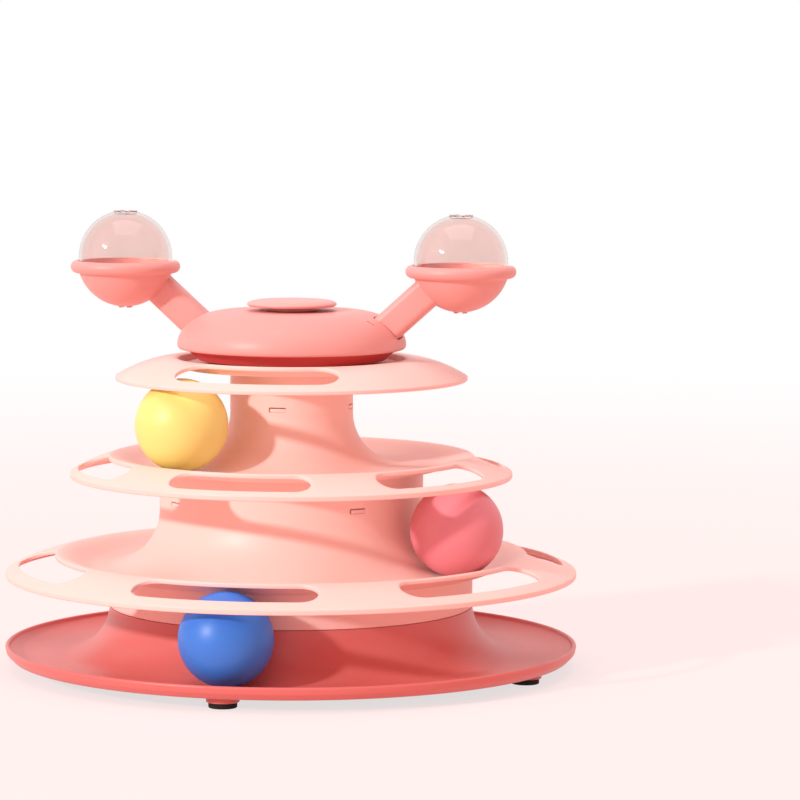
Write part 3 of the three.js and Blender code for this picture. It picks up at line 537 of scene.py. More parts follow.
def tier_parts(neck, neck_top, flare, flat, crest, crest_h, rim, drop, rim_h, bulge, slots, slot_degrees,
               band_edges, windows, foot, foot_inner):
    """All the parts of a tier, its track's floor at height 0."""
    flare_r = neck + flare
    flat_r = flare_r + flat

    def top(r):
        if r < crest:
            t = (r - flat_r) / (crest - flat_r)
            return crest_h * t * t * (3 - 2 * t)
        t = (r - crest) / (rim - crest)
        return crest_h - t * (crest_h + drop) + 4 * bulge * t * (1 - t)

    inner, outer = band_edges
    low, high, sector, degrees = windows
    rise = [(r, top(r)) for r in np.linspace(flat_r, crest, 15)[1:-1]]
    crest_line = [(r, top(r)) for r in np.linspace(crest - 0.2, inner, 4)]
    track = [
        (neck, low),
        *arc(flare_r, flare, flare, flare, 180, 270, 30),
        (flat_r, 0),
        *rise,
        *crest_line,
    ]
    edge = [
        *[(r, top(r)) for r in np.linspace(outer, rim - 1.2, 5)],
        (rim, top(rim), 0.6),
        (rim, -drop - rim_h, 0.5),
        (rim - WALL, -drop - rim_h, 0.5),
        (rim - WALL - 0.2, top(rim - WALL) - BRIM_WALL, 0.5),
        *[(r, top(r) - BRIM_WALL) for r in np.linspace(rim - WALL - 1.0, outer, 4)],
    ]
    turn = math.degrees(math.asin(max(0.0, flare_r - foot_inner) / (flare + WALL)))
    under = [
        *[(r, z - BRIM_WALL) for r, z in reversed(crest_line)],
        *[(r, z - BRIM_WALL) for r, z in reversed(rise)],
        (flat_r, -WALL),
        *foot,
        *arc(flare_r, flare, flare + WALL, flare + WALL, 270 - turn, 180, 30),
        (neck - WALL, low),
    ]
    collar = [(neck, high), (neck, neck_top, 0.45), (neck - WALL, neck_top, 0.45), (neck - WALL, high)]
    parts = [turned(rounded(line), ROUND_FACETS, closed=False) for line in (track, edge, under, collar)]
    columns = ROUND_FACETS // TIER_SLOTS
    parts += brim_band(top, inner, outer, SLOT_FIRST, TIER_SLOTS, columns, *slots, slot_degrees)
    parts += neck_band(neck, low, high, sector, degrees)
    return parts


pale_lower = plastic("satin_pale_pink_lower", PALE_PINK, PALE_ROUGH, wear=(72.0, 100.0))
lower_parts = tier_parts(
    neck=LOWER_NECK_R, neck_top=LOWER_NECK_TOP, flare=24.0, flat=3.4, crest=102.0, crest_h=5.2,
    rim=124.8, drop=2.6, rim_h=2.2, bulge=0.8,
    slots=(103.1, 118.8), slot_degrees=41.6, band_edges=(102.5, 119.4),
    windows=(25.0, 33.2, 30.0, LOWER_SNAP),
    foot=[
        (BASE_NECK_R, -WALL, 0.4),
        (BASE_NECK_R, SKIRT_LOW, 0.4),
        (SPIGOT_R, SKIRT_LOW, 0.3),
        (SPIGOT_R, SPIGOT_LOW, 0.5),
        (SPIGOT_R - WALL, SPIGOT_LOW, 0.5),
    ],
    foot_inner=SPIGOT_R - WALL,
)
lower_parts = [moved(part, z=LOWER_FLOOR) for part in lower_parts]
lower_tier = moulded("lower_tier_moulding", pale_lower, lower_parts, brim=TIER_SLOTS, neck=SNAP_COUNT)
fixed(lower_tier, "tower", "pale_pink_plastic", "lower_tier")

# Middle tier
# The same moulding in a smaller size: its track sits on the lower neck, and a plug goes down
# inside that neck with four tongues that catch in the neck's windows.
MIDDLE_FLOOR = 90.0
MIDDLE_NECK_R = 26.8
MIDDLE_NECK_TOP = 41.55
MIDDLE_FLARE = 22.6
MIDDLE_SNAP = -13.4
MIDDLE_PLUG_R = 55.5
MIDDLE_PLUG_LOW = -20.15
MIDDLE_TONGUE_LOW = LOWER_FLOOR + LOWER_NECK_TOP - 14.15
TONGUE_LONG = 7.0
TONGUE_HIGH = 1.6
TONGUE_SHY = 0.12
TONGUE_SLACK = 0.26


def tongues(name, finish, plug, neck, low, degrees):
    """Four snap tongues on a plug, their ends a little short of the neck's face."""
    def spot(a, b, depth):
        r = neck - TONGUE_SHY - depth
        turn = front(degrees) + (a + TONGUE_SLACK) / neck
        return r * math.cos(turn), r * math.sin(turn), low + TONGUE_HIGH / 2 + b - TONGUE_SLACK

    soft = 0.15
    long, wide = TONGUE_LONG / 2, TONGUE_HIGH / 2
    corners = [(-1, -1), (1, -1), (1, 1), (-1, 1)]
    deep = neck - TONGUE_SHY - plug + WALL / 2
    points = []
    for inset, depth in ((soft, 0.0), (0.3 * soft, 0.3 * soft), (0.0, soft), (0.0, deep)):
        for x, y in corners:
            points.append(spot(x * (long - inset), y * (wide - inset), depth))
    faces = [(0, 1, 2, 3), (15, 14, 13, 12)]
    for i in range(3):
        for k in range(4):
            m = (k + 1) % 4
            faces.append((i * 4 + k, i * 4 + 4 + k, i * 4 + 4 + m, i * 4 + m))
    return moulded(name, finish, [(np.array(points), faces, SNAP_COUNT)], brim=SNAP_COUNT)


pale_middle = plastic("satin_pale_pink_middle", PALE_PINK, PALE_ROUGH, wear=(40.0, 76.0))
middle_parts = tier_parts(
    neck=MIDDLE_NECK_R, neck_top=MIDDLE_NECK_TOP, flare=MIDDLE_FLARE, flat=12.4, crest=79.0, crest_h=3.75,
    rim=96.6, drop=3.65, rim_h=2.2, bulge=0.5,
    slots=(79.8, 93.0), slot_degrees=40.8, band_edges=(79.2, 93.6),
    windows=(22.55, 28.35, -13.125, MIDDLE_SNAP),
    foot=[
        (MIDDLE_PLUG_R, -WALL, 0.4),
        (MIDDLE_PLUG_R, MIDDLE_PLUG_LOW, 0.5),
        (MIDDLE_PLUG_R - WALL, MIDDLE_PLUG_LOW, 0.5),
        (MIDDLE_PLUG_R - WALL, -WALL, 0.4),
    ],
    foot_inner=MIDDLE_NECK_R + MIDDLE_FLARE,
)
middle_parts = [moved(part, z=MIDDLE_FLOOR) for part in middle_parts]
middle_tier = moulded("middle_tier_moulding", pale_middle, middle_parts, brim=TIER_SLOTS, neck=SNAP_COUNT)
catches = tongues("middle_tongues", pale_middle, MIDDLE_PLUG_R, LOWER_NECK_R, MIDDLE_TONGUE_LOW, LOWER_SNAP)
carve(middle_tier, ("UNION", catches))
fixed(middle_tier, "tower", "pale_pink_plastic", "middle_tier")

# Top deck
# Pale pink lid of the tower: a sunk floor that the head turns in, a crest round it and a domed
# brim with two long slots. Its plug snaps into the middle neck like the tier's below.
DECK_FLOOR = 133.5
DECK_SLOTS = 2
DECK_CREST = 51.0
DECK_CREST_H = 2.8
DECK_RIM = 76.8
DECK_DROP = 5.3
DECK_RIM_H = 1.6
DECK_BULGE = 1.9
DECK_BAND = (51.9, 72.9)
DECK_SLOT = (52.8, 72.0)
DECK_SLOT_DEGREES = 66.5
DECK_COLUMNS = 48
DECK_RECESS_R = 47.4
DECK_BOSS_R = 8.5
DECK_BOSS_H = 0.8
DECK_BOSS_LOW = -WALL - 2.2
DECK_PLUG_R = 24.7
DECK_PLUG_LOW = -WALL - 21.0
DECK_TONGUE_LOW = MIDDLE_FLOOR + MIDDLE_NECK_TOP - 16.9
SPINDLE_BORE = 3.3


def deck_top(r):
    t = (r - DECK_CREST) / (DECK_RIM - DECK_CREST)
    return DECK_CREST_H - t * (DECK_CREST_H + DECK_DROP) + 4 * DECK_BULGE * t * (1 - t)


pale_deck = plastic("satin_pale_pink_deck", PALE_PINK, PALE_ROUGH, wear=(30.0, 47.0))
crest_line = [(r, deck_top(r)) for r in np.linspace(DECK_CREST + 0.3, DECK_BAND[0], 3)]
deck_edge = [
    *[(r, deck_top(r)) for r in np.linspace(DECK_BAND[1], DECK_RIM - 1.2, 5)],
    (DECK_RIM, deck_top(DECK_RIM), 0.6),
    (DECK_RIM, -DECK_DROP - DECK_RIM_H, 0.4),
    (DECK_RIM - WALL, -DECK_DROP - DECK_RIM_H, 0.4),
    (DECK_RIM - WALL - 0.2, deck_top(DECK_RIM - WALL) - BRIM_WALL, 0.3),
    *[(r, deck_top(r) - BRIM_WALL) for r in np.linspace(DECK_RIM - WALL - 1.0, DECK_BAND[1], 4)],
]
deck_body = [
    *reversed(crest_line),
    (DECK_CREST - 0.2, DECK_CREST_H - 0.02),
    (DECK_CREST - 1.5, DECK_CREST_H - 0.35, 0.8),
    (DECK_RECESS_R, 0, 0.8),
    (DECK_BOSS_R, 0, 0.3),
    (DECK_BOSS_R, DECK_BOSS_H, 0.2),
    (SPINDLE_BORE, DECK_BOSS_H),
    (SPINDLE_BORE, DECK_BOSS_LOW),
    (DECK_BOSS_R, DECK_BOSS_LOW, 0.3),
    (DECK_BOSS_R, -WALL, 0.4),
    (DECK_PLUG_R - WALL, -WALL, 0.4),
    (DECK_PLUG_R - WALL, DECK_PLUG_LOW, 0.5),
    (DECK_PLUG_R, DECK_PLUG_LOW, 0.5),
    (DECK_PLUG_R, -WALL, 0.4),
    (DECK_RECESS_R, -WALL, 0.8),
    (DECK_CREST - 0.6, DECK_CREST_H - BRIM_WALL - 0.15, 0.8),
    *[(r, z - BRIM_WALL) for r, z in crest_line],
]
deck_parts = [turned(rounded(line), ROUND_FACETS, closed=False) for line in (deck_body, deck_edge)]
deck_slots = (SLOT_FIRST, DECK_SLOTS, DECK_COLUMNS, *DECK_SLOT, DECK_SLOT_DEGREES)
deck_parts += brim_band(deck_top, *DECK_BAND, *deck_slots)
deck_parts = [moved(part, z=DECK_FLOOR) for part in deck_parts]
top_deck = moulded("deck_moulding", pale_deck, deck_parts, brim=DECK_SLOTS)
catches = tongues("deck_tongues", pale_deck, DECK_PLUG_R, MIDDLE_NECK_R, DECK_TONGUE_LOW, MIDDLE_SNAP)
carve(top_deck, ("UNION", catches))
fixed(top_deck, "tower", "pale_pink_plastic", "top_deck")

# Spindle, washers and screw
# A flanged steel pin comes up through the deck's boss, with a nylon washer for the head to turn
# on. A steel washer and a cross-headed screw in the pin's end keep the head from lifting off.
SPINDLE_R = 3.0
SPINDLE_LOW = 127.35
SPINDLE_TOP = 149.4
SPINDLE_FLANGE_R = 6.5
SPINDLE_FLANGE_TOP = SPINDLE_LOW + 2.0
SPINDLE_TAP_R = 1.8
SPINDLE_TAP_LOW = 142.4
THRUST_WASHER = (7.5, 134.45, 135.25)
KEEPER_WASHER = (6.5, 149.55, 150.55)
WASHER_FACETS = 64
SCREW_FACETS = 32
SCREW_PITCH = 0.8
THREAD_DEEP = 0.25
THREAD_TIP = 1.4
THREAD_START = 0.6
RECESS_LONG = 3.6
RECESS_WIDE = 0.8
RECESS_DEEP = 0.7

steel = Finish("zinc_steel", Metallic=1.0)
bloom = steel.noise(steel.place, 420.0, 3.0)
streak = steel.noise(steel.place, 3200.0)
steel.feed("Base Color", steel.blend(bloom, colour(172, 176, 181), colour(201, 203, 205)))
steel.feed("Roughness", 0.22 + 0.16 * bloom + 0.06 * streak)
steel.grain(streak, 0.01 * MM, 0.5)

nylon = Finish("waxy_nylon", Specular_IOR_Level=0.45)
haze = nylon.noise(nylon.place, 260.0, 3.0)
nylon.feed("Base Color", nylon.blend(haze, colour(228, 223, 212), colour(240, 237, 230)))
nylon.feed("Roughness", 0.38 + 0.14 * haze)
nylon.grain(nylon.noise(nylon.place, 2400.0), 0.03 * MM, 0.5)

spindle = moulded("spindle_pin", steel, [turned(rounded([
    (0, SPINDLE_LOW),
    (SPINDLE_FLANGE_R, SPINDLE_LOW, 0.3),
    (SPINDLE_FLANGE_R, SPINDLE_FLANGE_TOP, 0.3),
    (SPINDLE_R, SPINDLE_FLANGE_TOP, 0.2),
    (SPINDLE_R, SPINDLE_TOP, 0.3),
    (SPINDLE_TAP_R, SPINDLE_TOP, 0.2),
    (SPINDLE_TAP_R, SPINDLE_TAP_LOW),
    (0, SPINDLE_TAP_LOW),
]), SMALL_FACETS, closed=False)])
fixed(spindle, "tower", "steel", "spindle")


def ring_washer(name, finish, bore, radius, low, high):
    """A flat washer with softened edges."""
    soft = 0.15
    line = [(bore, low, soft), (radius, low, soft), (radius, high, soft), (bore, high, soft)]
    return moulded(name, finish, [turned(rounded(line, steps=3), WASHER_FACETS)])


thrust_washer = ring_washer("nylon_washer", nylon, SPINDLE_BORE, *THRUST_WASHER)
fixed(thrust_washer, "tower", "white_nylon", "thrust_washer")
spindle_washer = ring_washer("steel_washer", steel, SPINDLE_TAP_R, *KEEPER_WASHER)
fixed(spindle_washer, "tower", "steel", "spindle_washer")


def screw_parts(shank, length, head, high):
    """A pan-headed screw, head up on height 0, its thread a real helix."""
    core = shank - THREAD_DEEP
    crown = turned(rounded([
        (0, high),
        (head - 0.2, high - 0.1, 0.6),
        (head, 0, 0.15),
        (core, 0),
    ]), SCREW_FACETS, closed=False)
    rows = int(length / SCREW_PITCH * 8)
    heights = np.linspace(0, -length, rows + 1)
    line = [(shank, z) for z in heights] + [(0, -length)]
    points, faces, repeats = turned(line, SCREW_FACETS, closed=False)
    turn = np.arctan2(points[:, 1], points[:, 0]) / math.tau
    ridge = np.abs((points[:, 2] / SCREW_PITCH - turn) % 1.0 - 0.5) * 2
    taper = np.clip((points[:, 2] + length) / THREAD_TIP, 0.35, 1.0)
    fade = np.clip(-points[:, 2] / THREAD_START, 0.0, 1.0)
    radius = (core + THREAD_DEEP * ridge * fade) * taper
    spoke = np.linalg.norm(points[:, :2], axis=1)
    points[:, :2] *= np.where(spoke > 0.1, radius / np.maximum(spoke, 0.1), 0.0)[:, None]
    return [crown, (points, faces, repeats)]


def cross_recess(high):
    """The cutter for a screw's cross, its foot drawn in as a driver's tip is."""
    long, wide = RECESS_LONG / 2, RECESS_WIDE / 2
    outline = [(long, -wide), (long, wide), (wide, wide), (wide, long), (-wide, long), (-wide, wide),
               (-long, wide), (-long, -wide), (-wide, -wide), (-wide, -long), (wide, -long), (wide, -wide)]
    points = [(x, y, high + 0.5) for x, y in outline]
    points += [(x * 0.7, y * 0.7, high - RECESS_DEEP) for x, y in outline]
    count = len(outline)
    faces = [tuple(range(count)), tuple(reversed(range(count, 2 * count)))]
    faces += [(k, (k + 1) % count, count + (k + 1) % count, count + k) for k in range(count)]
    return np.array(points, float), faces, 1


SPINDLE_SCREW_Z = 150.7
keeper = screw_parts(shank=1.5, length=8.0, head=3.0, high=2.4)
spindle_screw = moulded("keeper_screw", steel, [moved(part, z=SPINDLE_SCREW_Z) for part in keeper])
recess = moulded("screw_cross", steel, [moved(cross_recess(2.3), z=SPINDLE_SCREW_Z)])
carve(spindle_screw, ("DIFFERENCE", recess))
fixed(spindle_screw, "tower", "steel", "spindle_screw")

# Head pan and bush
# The deep coral pan is the drawn-in lower half of the turning head: a shallow dish that slopes out
# to the shell's rim, a hub for a flanged nylon bush, and four posts for screws driven from below.
# Its deep coral is partly painted shade: the paint is darker than the other rose and coral mouldings
# to stand in for the deep shade in the gap under the shell's rim.
HEAD_Z = 135.4
HEAD_TURN = -12.0
HEAD_FACETS = 128
PAN_R = 47.2
PAN_FOOT_R = 41.0
PAN_FLANGE_LOW = 5.75
PAD_TOP = 7.55
SEAT = 0.15
SCREW_HEAD_TOP = 5.9
SCREW_SPOTS = ((0.0, -30.0), (35.6, -4.0))
SCREW_BORE = 1.6
SCREW_HEAD_BORE = 3.1
POST_R = 5.0
HUB_R = 9.5
HUB_TOP = 13.2
BUSH_R = 5.0
BUSH_TOP = 13.5
BUSH_FLANGE_R = 7.5
BUSH_FLANGE_TOP = 1.0
BUSH_FIT = 0.3
CUP_AT = 74.6
CUP_Z = 42.95
ARM_RISE = 42.0
ARM_LONG = CUP_AT / math.cos(math.radians(ARM_RISE))
ARM_ASIDE = 4.0
ARM_HALF_THICK = 6.0
ARM_HALF_DEEP = 6.65
ARM_CORNER = 3.0


def on_head(parts):
    """Parts drawn with the head's underside at height 0 and its arms along X, put in place."""
    return [moved(part, z=HEAD_Z, turn=HEAD_TURN) for part in parts]


def rod(radius, low, high, x, y, repeats=1, facets=SMALL_FACETS):
    """A plain round bar standing at (x, y)."""
    line = [(0, low), (radius, low), (radius, high), (0, high)]
    return moved(turned(line, facets, closed=False, repeats=repeats), x=x, y=y)


def arm_bar(spare):
    """The straight bar of the right arm, grown by a clearance, up to the cup's centre."""
    half_thick, half_deep = ARM_HALF_THICK + spare, ARM_HALF_DEEP + spare
    corner = ARM_CORNER + spare
    outline = []
    for x, y, first in ((1, 1, 0), (-1, 1, 90), (-1, -1, 180), (1, -1, 270)):
        middle = x * (half_thick - corner), y * (half_deep - corner)
        outline += arc(*middle, corner, corner, first, first + 90, 8)
    c, s = math.cos(math.radians(ARM_RISE)), math.sin(math.radians(ARM_RISE))
    lengths = 9
    points = []
    for k in np.linspace(0.0, ARM_LONG, lengths + 1):
        for across, over in outline:
            back = k - ARM_LONG
            points.append((CUP_AT + back * c - over * s, across - ARM_ASIDE, CUP_Z + back * s + over * c))
    count = len(outline)
    faces = [tuple(range(count)), tuple(lengths * count + k for k in reversed(range(count)))]
    for i in range(lengths):
        for k in range(count):
            m = (k + 1) % count
            faces.append((i * count + k, i * count + m, i * count + count + m, i * count + count + k))
    return np.array(points), faces, 2


def box_part(low, high, repeats=1):
    """A plain block between two corners."""
    points = [(x, y, z) for z in (low[2], high[2]) for y in (low[1], high[1]) for x in (low[0], high[0])]
    faces = [(0, 2, 3, 1), (4, 5, 7, 6), (0, 1, 5, 4), (2, 6, 7, 3), (0, 4, 6, 2), (1, 3, 7, 5)]
    return np.array(points, float), faces, repeats


# Deep coral paint, partly painted shade: darker to stand in for the shade in the gap under the shell.
shade_darkened_coral = plastic("satin_deep_coral", (226, 86, 82), 0.5)
pan = moulded("head_pan", shade_darkened_coral, on_head([turned(rounded([
    (BUSH_FLANGE_R + BUSH_FIT, 0),
    (PAN_FOOT_R - 0.4, 0, 1.4),
    (PAN_R, PAN_FLANGE_LOW, 1.0),
    (PAN_R, PAD_TOP, 0.3),
    (PAN_FOOT_R - WALL, PAD_TOP, 0.4),
    (PAN_FOOT_R - WALL, WALL, 0.6),
    (HUB_R, WALL, 0.5),
    (HUB_R, HUB_TOP, 0.4),
    (BUSH_R + BUSH_FIT, HUB_TOP, 0.2),
    (BUSH_R + BUSH_FIT, BUSH_FLANGE_TOP + SEAT),
    (BUSH_FLANGE_R + BUSH_FIT, BUSH_FLANGE_TOP + SEAT),
]), HEAD_FACETS)]))
posts = [rod(POST_R, WALL / 2, PAD_TOP - 0.05, x, y, 2) for x, y in SCREW_SPOTS]
posts = moulded("pan_posts", shade_darkened_coral, on_head(posts), brim=2)
hole = turned([
    (0, -1.0),
    (SCREW_HEAD_BORE, -1.0),
    (SCREW_HEAD_BORE, SCREW_HEAD_TOP),
    (SCREW_BORE, SCREW_HEAD_TOP),
    (SCREW_BORE, PAD_TOP + 1),
    (0, PAD_TOP + 1),
], SMALL_FACETS, closed=False, repeats=2)
holes = moulded("pan_holes", shade_darkened_coral, on_head([moved(hole, x=x, y=y) for x, y in SCREW_SPOTS]), brim=2)
carve(pan, ("UNION", posts), ("DIFFERENCE", holes))
fixed(pan, "head", "coral_plastic", "rotor_base")

bush = moulded("nylon_bush", nylon, on_head([turned(rounded([
    (SPINDLE_BORE, 0, 0.2),
    (BUSH_FLANGE_R, 0, 0.2),
    (BUSH_FLANGE_R, BUSH_FLANGE_TOP, 0.2),
    (BUSH_R, BUSH_FLANGE_TOP, 0.2),
    (BUSH_R, BUSH_TOP, 0.3),
    (SPINDLE_BORE, BUSH_TOP, 0.3),
], steps=3), WASHER_FACETS)]))
fixed(bush, "head", "white_nylon", "hub_bush")

# Head shell
# The domed upper half of the head, in rose plastic, moulded with two openings for the
# arms, two small mould slits and, inside, two bosses for the screws that hold it to the pan.
SHELL_R = 49.9
SHELL_LOW = 4.85
SHELL_EQUATOR = 6.55
SHELL_FLAT_R = 27.5
SHELL_CROWN = 14.7
SHELL_TOP = SHELL_EQUATOR + SHELL_CROWN
SHELL_POST_R = 4.2
SHELL_RIM_IN = 1.3
CAP_BORE = 9.3
SCREW_HOLE_TOP = SCREW_HEAD_TOP + 8.8
ARM_GAP = 0.6
SHELL_FACETS = 160
SLIT_LOW = (36.7, -17.95, SHELL_TOP - 7.5)
SLIT_HIGH = (39.9, -16.85, SHELL_TOP + 7.5)

rose = plastic("satin_rose", (232, 168, 162), 0.42)
shell_wide = SHELL_R - SHELL_FLAT_R
shell = moulded("head_shell", rose, on_head([turned([
    *arc(SHELL_R - SHELL_RIM_IN, SHELL_EQUATOR, SHELL_RIM_IN, SHELL_EQUATOR - SHELL_LOW, -90, 0, 8)[:-1],
    *arc(SHELL_FLAT_R, SHELL_EQUATOR, shell_wide, SHELL_CROWN, 0, 90, 36),
    *[(r, SHELL_TOP) for r in (22.0, 16.0, 11.0)],
    *arc(CAP_BORE + 0.4, SHELL_TOP - 0.4, 0.4, 0.4, 90, 180, 4),
    (CAP_BORE, SHELL_TOP - WALL),
    *[(r, SHELL_TOP - WALL) for r in (16.0, 22.0)],
    *arc(SHELL_FLAT_R, SHELL_EQUATOR, shell_wide - WALL, SHELL_CROWN - WALL, 90, 0, 36),
    (SHELL_R - WALL, SHELL_LOW + 0.2),
    (SHELL_R - WALL + 0.2, SHELL_LOW),
], SHELL_FACETS)]))
post = rod(SHELL_POST_R, PAD_TOP + SEAT, SHELL_TOP - WALL / 2, *SCREW_SPOTS[0], 2)
posts = moulded("shell_posts", rose, on_head([post]), brim=2)
bore = rod(SCREW_BORE, 0, SCREW_HOLE_TOP, *SCREW_SPOTS[0], 2)
bores = moulded("shell_bores", rose, on_head([bore]), brim=2)
bars = moulded("shell_openings", rose, on_head([arm_bar(ARM_GAP)]), brim=2)
slits = moulded("shell_slits", rose, on_head([box_part(SLIT_LOW, SLIT_HIGH, 2)]), brim=2)
carve(shell, ("UNION", posts), ("DIFFERENCE", bores), ("DIFFERENCE", bars), ("DIFFERENCE", slits))
fixed(shell, "head", "rose_plastic", "rotor_shell")

# Head screws
# Four small pan-headed steel screws driven up from below: two hold shell and pan together,
# and one goes into the root of each arm.
head_screws, crosses = [], []
for x, y in SCREW_SPOTS:
    for part in screw_parts(shank=1.3, length=8.0, head=2.8, high=1.4):
        points, faces, _ = moved(part, x=x, y=y, z=SCREW_HEAD_TOP - SEAT, over=180.0)
        head_screws.append((points, faces, 2))
    points, faces, _ = moved(cross_recess(1.3), x=x, y=y, z=SCREW_HEAD_TOP - SEAT, over=180.0)
    crosses.append((points, faces, 2))
head_screws = moulded("head_screws", steel, on_head(head_screws), brim=2)
crosses = moulded("head_crosses", steel, on_head(crosses), brim=2)
carve(head_screws, ("DIFFERENCE", crosses))
fixed(head_screws, "head", "steel", "rotor_screw_1", "rotor_screw_2", "arm_screw_right", "arm_screw_left")

# Arms with cups
# Each arm is one rose moulding: a sloping bar whose root is screwed to the pan, and a round
# bowl with a rolled flange and an inner seat for its clear dome. The bowl drains at the bottom.
CUP_R = 21.2
CUP_IN = 19.4
FLANGE_R = 24.0
FLANGE_LOW = 36.65
FLANGE_TOP = 42.05
CUP_SEAT = 38.65
CUP_BORE = 20.8
CUP_FACETS = 96
HOLE_R = 1.6
HOLE_LIP_R = 3.0
HOLE_LIP_H = 0.6
ARM_ROOT = 30.0
LIP_SLOT = 2.4
LIP_SLOT_REACH = 8.0
LIP_SLOT_SHY = 0.04
BEYOND = 200.0


def bowl_arc(radius, low_r, high, steps):
    """The bowl's round side, from near the bottom up to a height."""
    low = 270 + math.degrees(math.asin(low_r / radius))
    top = 360 - math.degrees(math.asin((CUP_Z - high) / radius))
    return arc(0, CUP_Z, radius, radius, low, top, steps)


def lip_slot(name, finish, placed, x, low, high):
    """The cutter for a slot straight across the lip of a hole, from front to back."""
    half = LIP_SLOT / 2
    cutter = box_part((x - half, -LIP_SLOT_REACH, low), (x + half, LIP_SLOT_REACH, high))
    return moulded(name, finish, on_head(placed([cutter])))


def arm_with_cup(name, turn):
    """The right arm, or turned half round the left one."""
    lip_low = CUP_Z - math.sqrt(CUP_R ** 2 - HOLE_LIP_R ** 2) - HOLE_LIP_H
    roll = (FLANGE_TOP - FLANGE_LOW) / 2
    outside = bowl_arc(CUP_R, HOLE_LIP_R, FLANGE_LOW - 0.5, 20)
    line = rounded([
        (HOLE_R, lip_low, 0.2),
        (HOLE_LIP_R, lip_low, 0.25),
        *outside,
        (outside[-1][0] + 0.5, FLANGE_LOW),
        *arc(FLANGE_R - roll, FLANGE_LOW + roll, roll, roll, -90, 90, 16),
        (CUP_BORE, FLANGE_TOP, 0.3),
        (CUP_BORE, CUP_SEAT, 0.2),
        *reversed(bowl_arc(CUP_IN, HOLE_R, CUP_SEAT, 20)),
    ], steps=6)
    cup = moved(turned(line, CUP_FACETS), x=CUP_AT)
    wall = CUP_R - WALL / 2
    lid = (CUP_BORE + FLANGE_R) / 2
    inside = moved(turned([
        (0, CUP_Z - wall),
        *bowl_arc(wall, HOLE_R, CUP_SEAT - WALL / 2, 20),
        (lid, CUP_SEAT - WALL / 2),
        (lid, CUP_Z + CUP_R),
        (0, CUP_Z + CUP_R),
    ], CUP_FACETS, closed=False), x=CUP_AT)
    points, faces, _ = arm_bar(0.0)

    def placed(parts):
        return [moved(part, turn=turn) for part in parts]

    bar = moulded(name, rose, on_head(placed([(points, faces, 1)])))
    hole = rod(SCREW_BORE, PAD_TOP - 2.0, SCREW_HOLE_TOP, *SCREW_SPOTS[1], facets=40)
    hole = moulded(name + "_hole", rose, on_head(placed([hole])))
    root = box_part((ARM_ROOT, -BEYOND, PAD_TOP + SEAT), (BEYOND, BEYOND, BEYOND))
    root = carve(moulded(name + "_root", rose, on_head(placed([root]))), ("DIFFERENCE", hole))
    inside = moulded(name + "_inside", rose, on_head(placed([inside])))
    slot = lip_slot(name + "_slot", rose, placed, CUP_AT, lip_low - 1.0, lip_low + HOLE_LIP_H - LIP_SLOT_SHY)
    cup = carve(moulded(name + "_cup", rose, on_head(placed([cup]))), ("DIFFERENCE", slot))
    return carve(bar, ("INTERSECT", root), ("DIFFERENCE", inside), ("UNION", cup))


for side, turn in (("right", 0.0), ("left", 180.0)):
    fixed(arm_with_cup(f"{side}_arm_moulding", turn), "head", "rose_plastic", f"arm_{side}")

# Clear domes
# Thin half balls of clear plastic that drop into the cups' seats and lift off by hand; each has
# a small hole at its top with a raised, slotted ring round it.
DOME_R = 20.5
DOME_IN = 19.2
DOME_Z = 43.55
DOME_LOW = 38.8
DOME_HOLE_R = 2.4
DOME_LIP_R = 5.2
DOME_LIP_H = 0.5
DOME_LIP_TOP = DOME_Z + math.sqrt(DOME_R ** 2 - DOME_LIP_R ** 2) + DOME_LIP_H

clear = Finish("clear_acrylic", Transmission_Weight=1.0, IOR=1.46, Specular_IOR_Level=0.5)
smear = clear.noise(clear.place, 70.0, 3.0)
# Painted light in part: the pink tint stands in for the pink surroundings seen through the dome, as well as
# the plastic's own tint.
tint = clear.blend(smear, colour(243, 222, 218), colour(249, 232, 228))
grazing = clear.node("ShaderNodeLayerWeight", {}, {"Blend": 0.35}, "Facing")
clear.feed("Base Color", clear.blend(clear.step(grazing, 0.55, 1.0), tint, colour(206, 168, 162)))
clear.feed("Roughness", 0.015 + 0.05 * clear.step(smear, 0.45, 0.75))

lip_turn = math.degrees(math.acos(DOME_LIP_R / DOME_R))
hole_turn = math.degrees(math.acos(DOME_HOLE_R / DOME_IN))
dome = turned(rounded([
    (DOME_R, DOME_LOW, 0.3),
    *arc(0, DOME_Z, DOME_R, DOME_R, 0, lip_turn, 28),
    (DOME_LIP_R, DOME_LIP_TOP, 0.25),
    (DOME_HOLE_R, DOME_LIP_TOP, 0.25),
    *arc(0, DOME_Z, DOME_IN, DOME_IN, hole_turn, 0, 28),
    (DOME_IN, DOME_LOW, 0.3),
]), HEAD_FACETS)
for side, x in (("right", CUP_AT), ("left", -CUP_AT)):
    clear_dome = moulded(f"{side}_clear_lid", clear, on_head([moved(dome, x=x)]))
    slot_low = DOME_LIP_TOP - DOME_LIP_H + LIP_SLOT_SHY
    slot = lip_slot(f"{side}_lid_slot", clear, list, x, slot_low, DOME_LIP_TOP + 1.0)
    carve(clear_dome, ("DIFFERENCE", slot))
    clear_dome.visible_shadow = False
    fixed(clear_dome, f"dome_{side}", "clear_plastic", f"clear_dome_{side}")

# Centre cap
# A rose button over the head's middle: a thin disc with a rolled edge, held off the shell by a
# shoulder, its hollow stem pushed into the shell's hole so that it can be pulled out.
CAP_R = 19.6
CAP_LOW = 23.25
CAP_TOP = 25.85
CAP_EDGE = (5.0, 1.8)
CAP_SHOULDER_R = 11.0
CAP_STEM_R = 9.0
CAP_STEM_LOW = 16.8

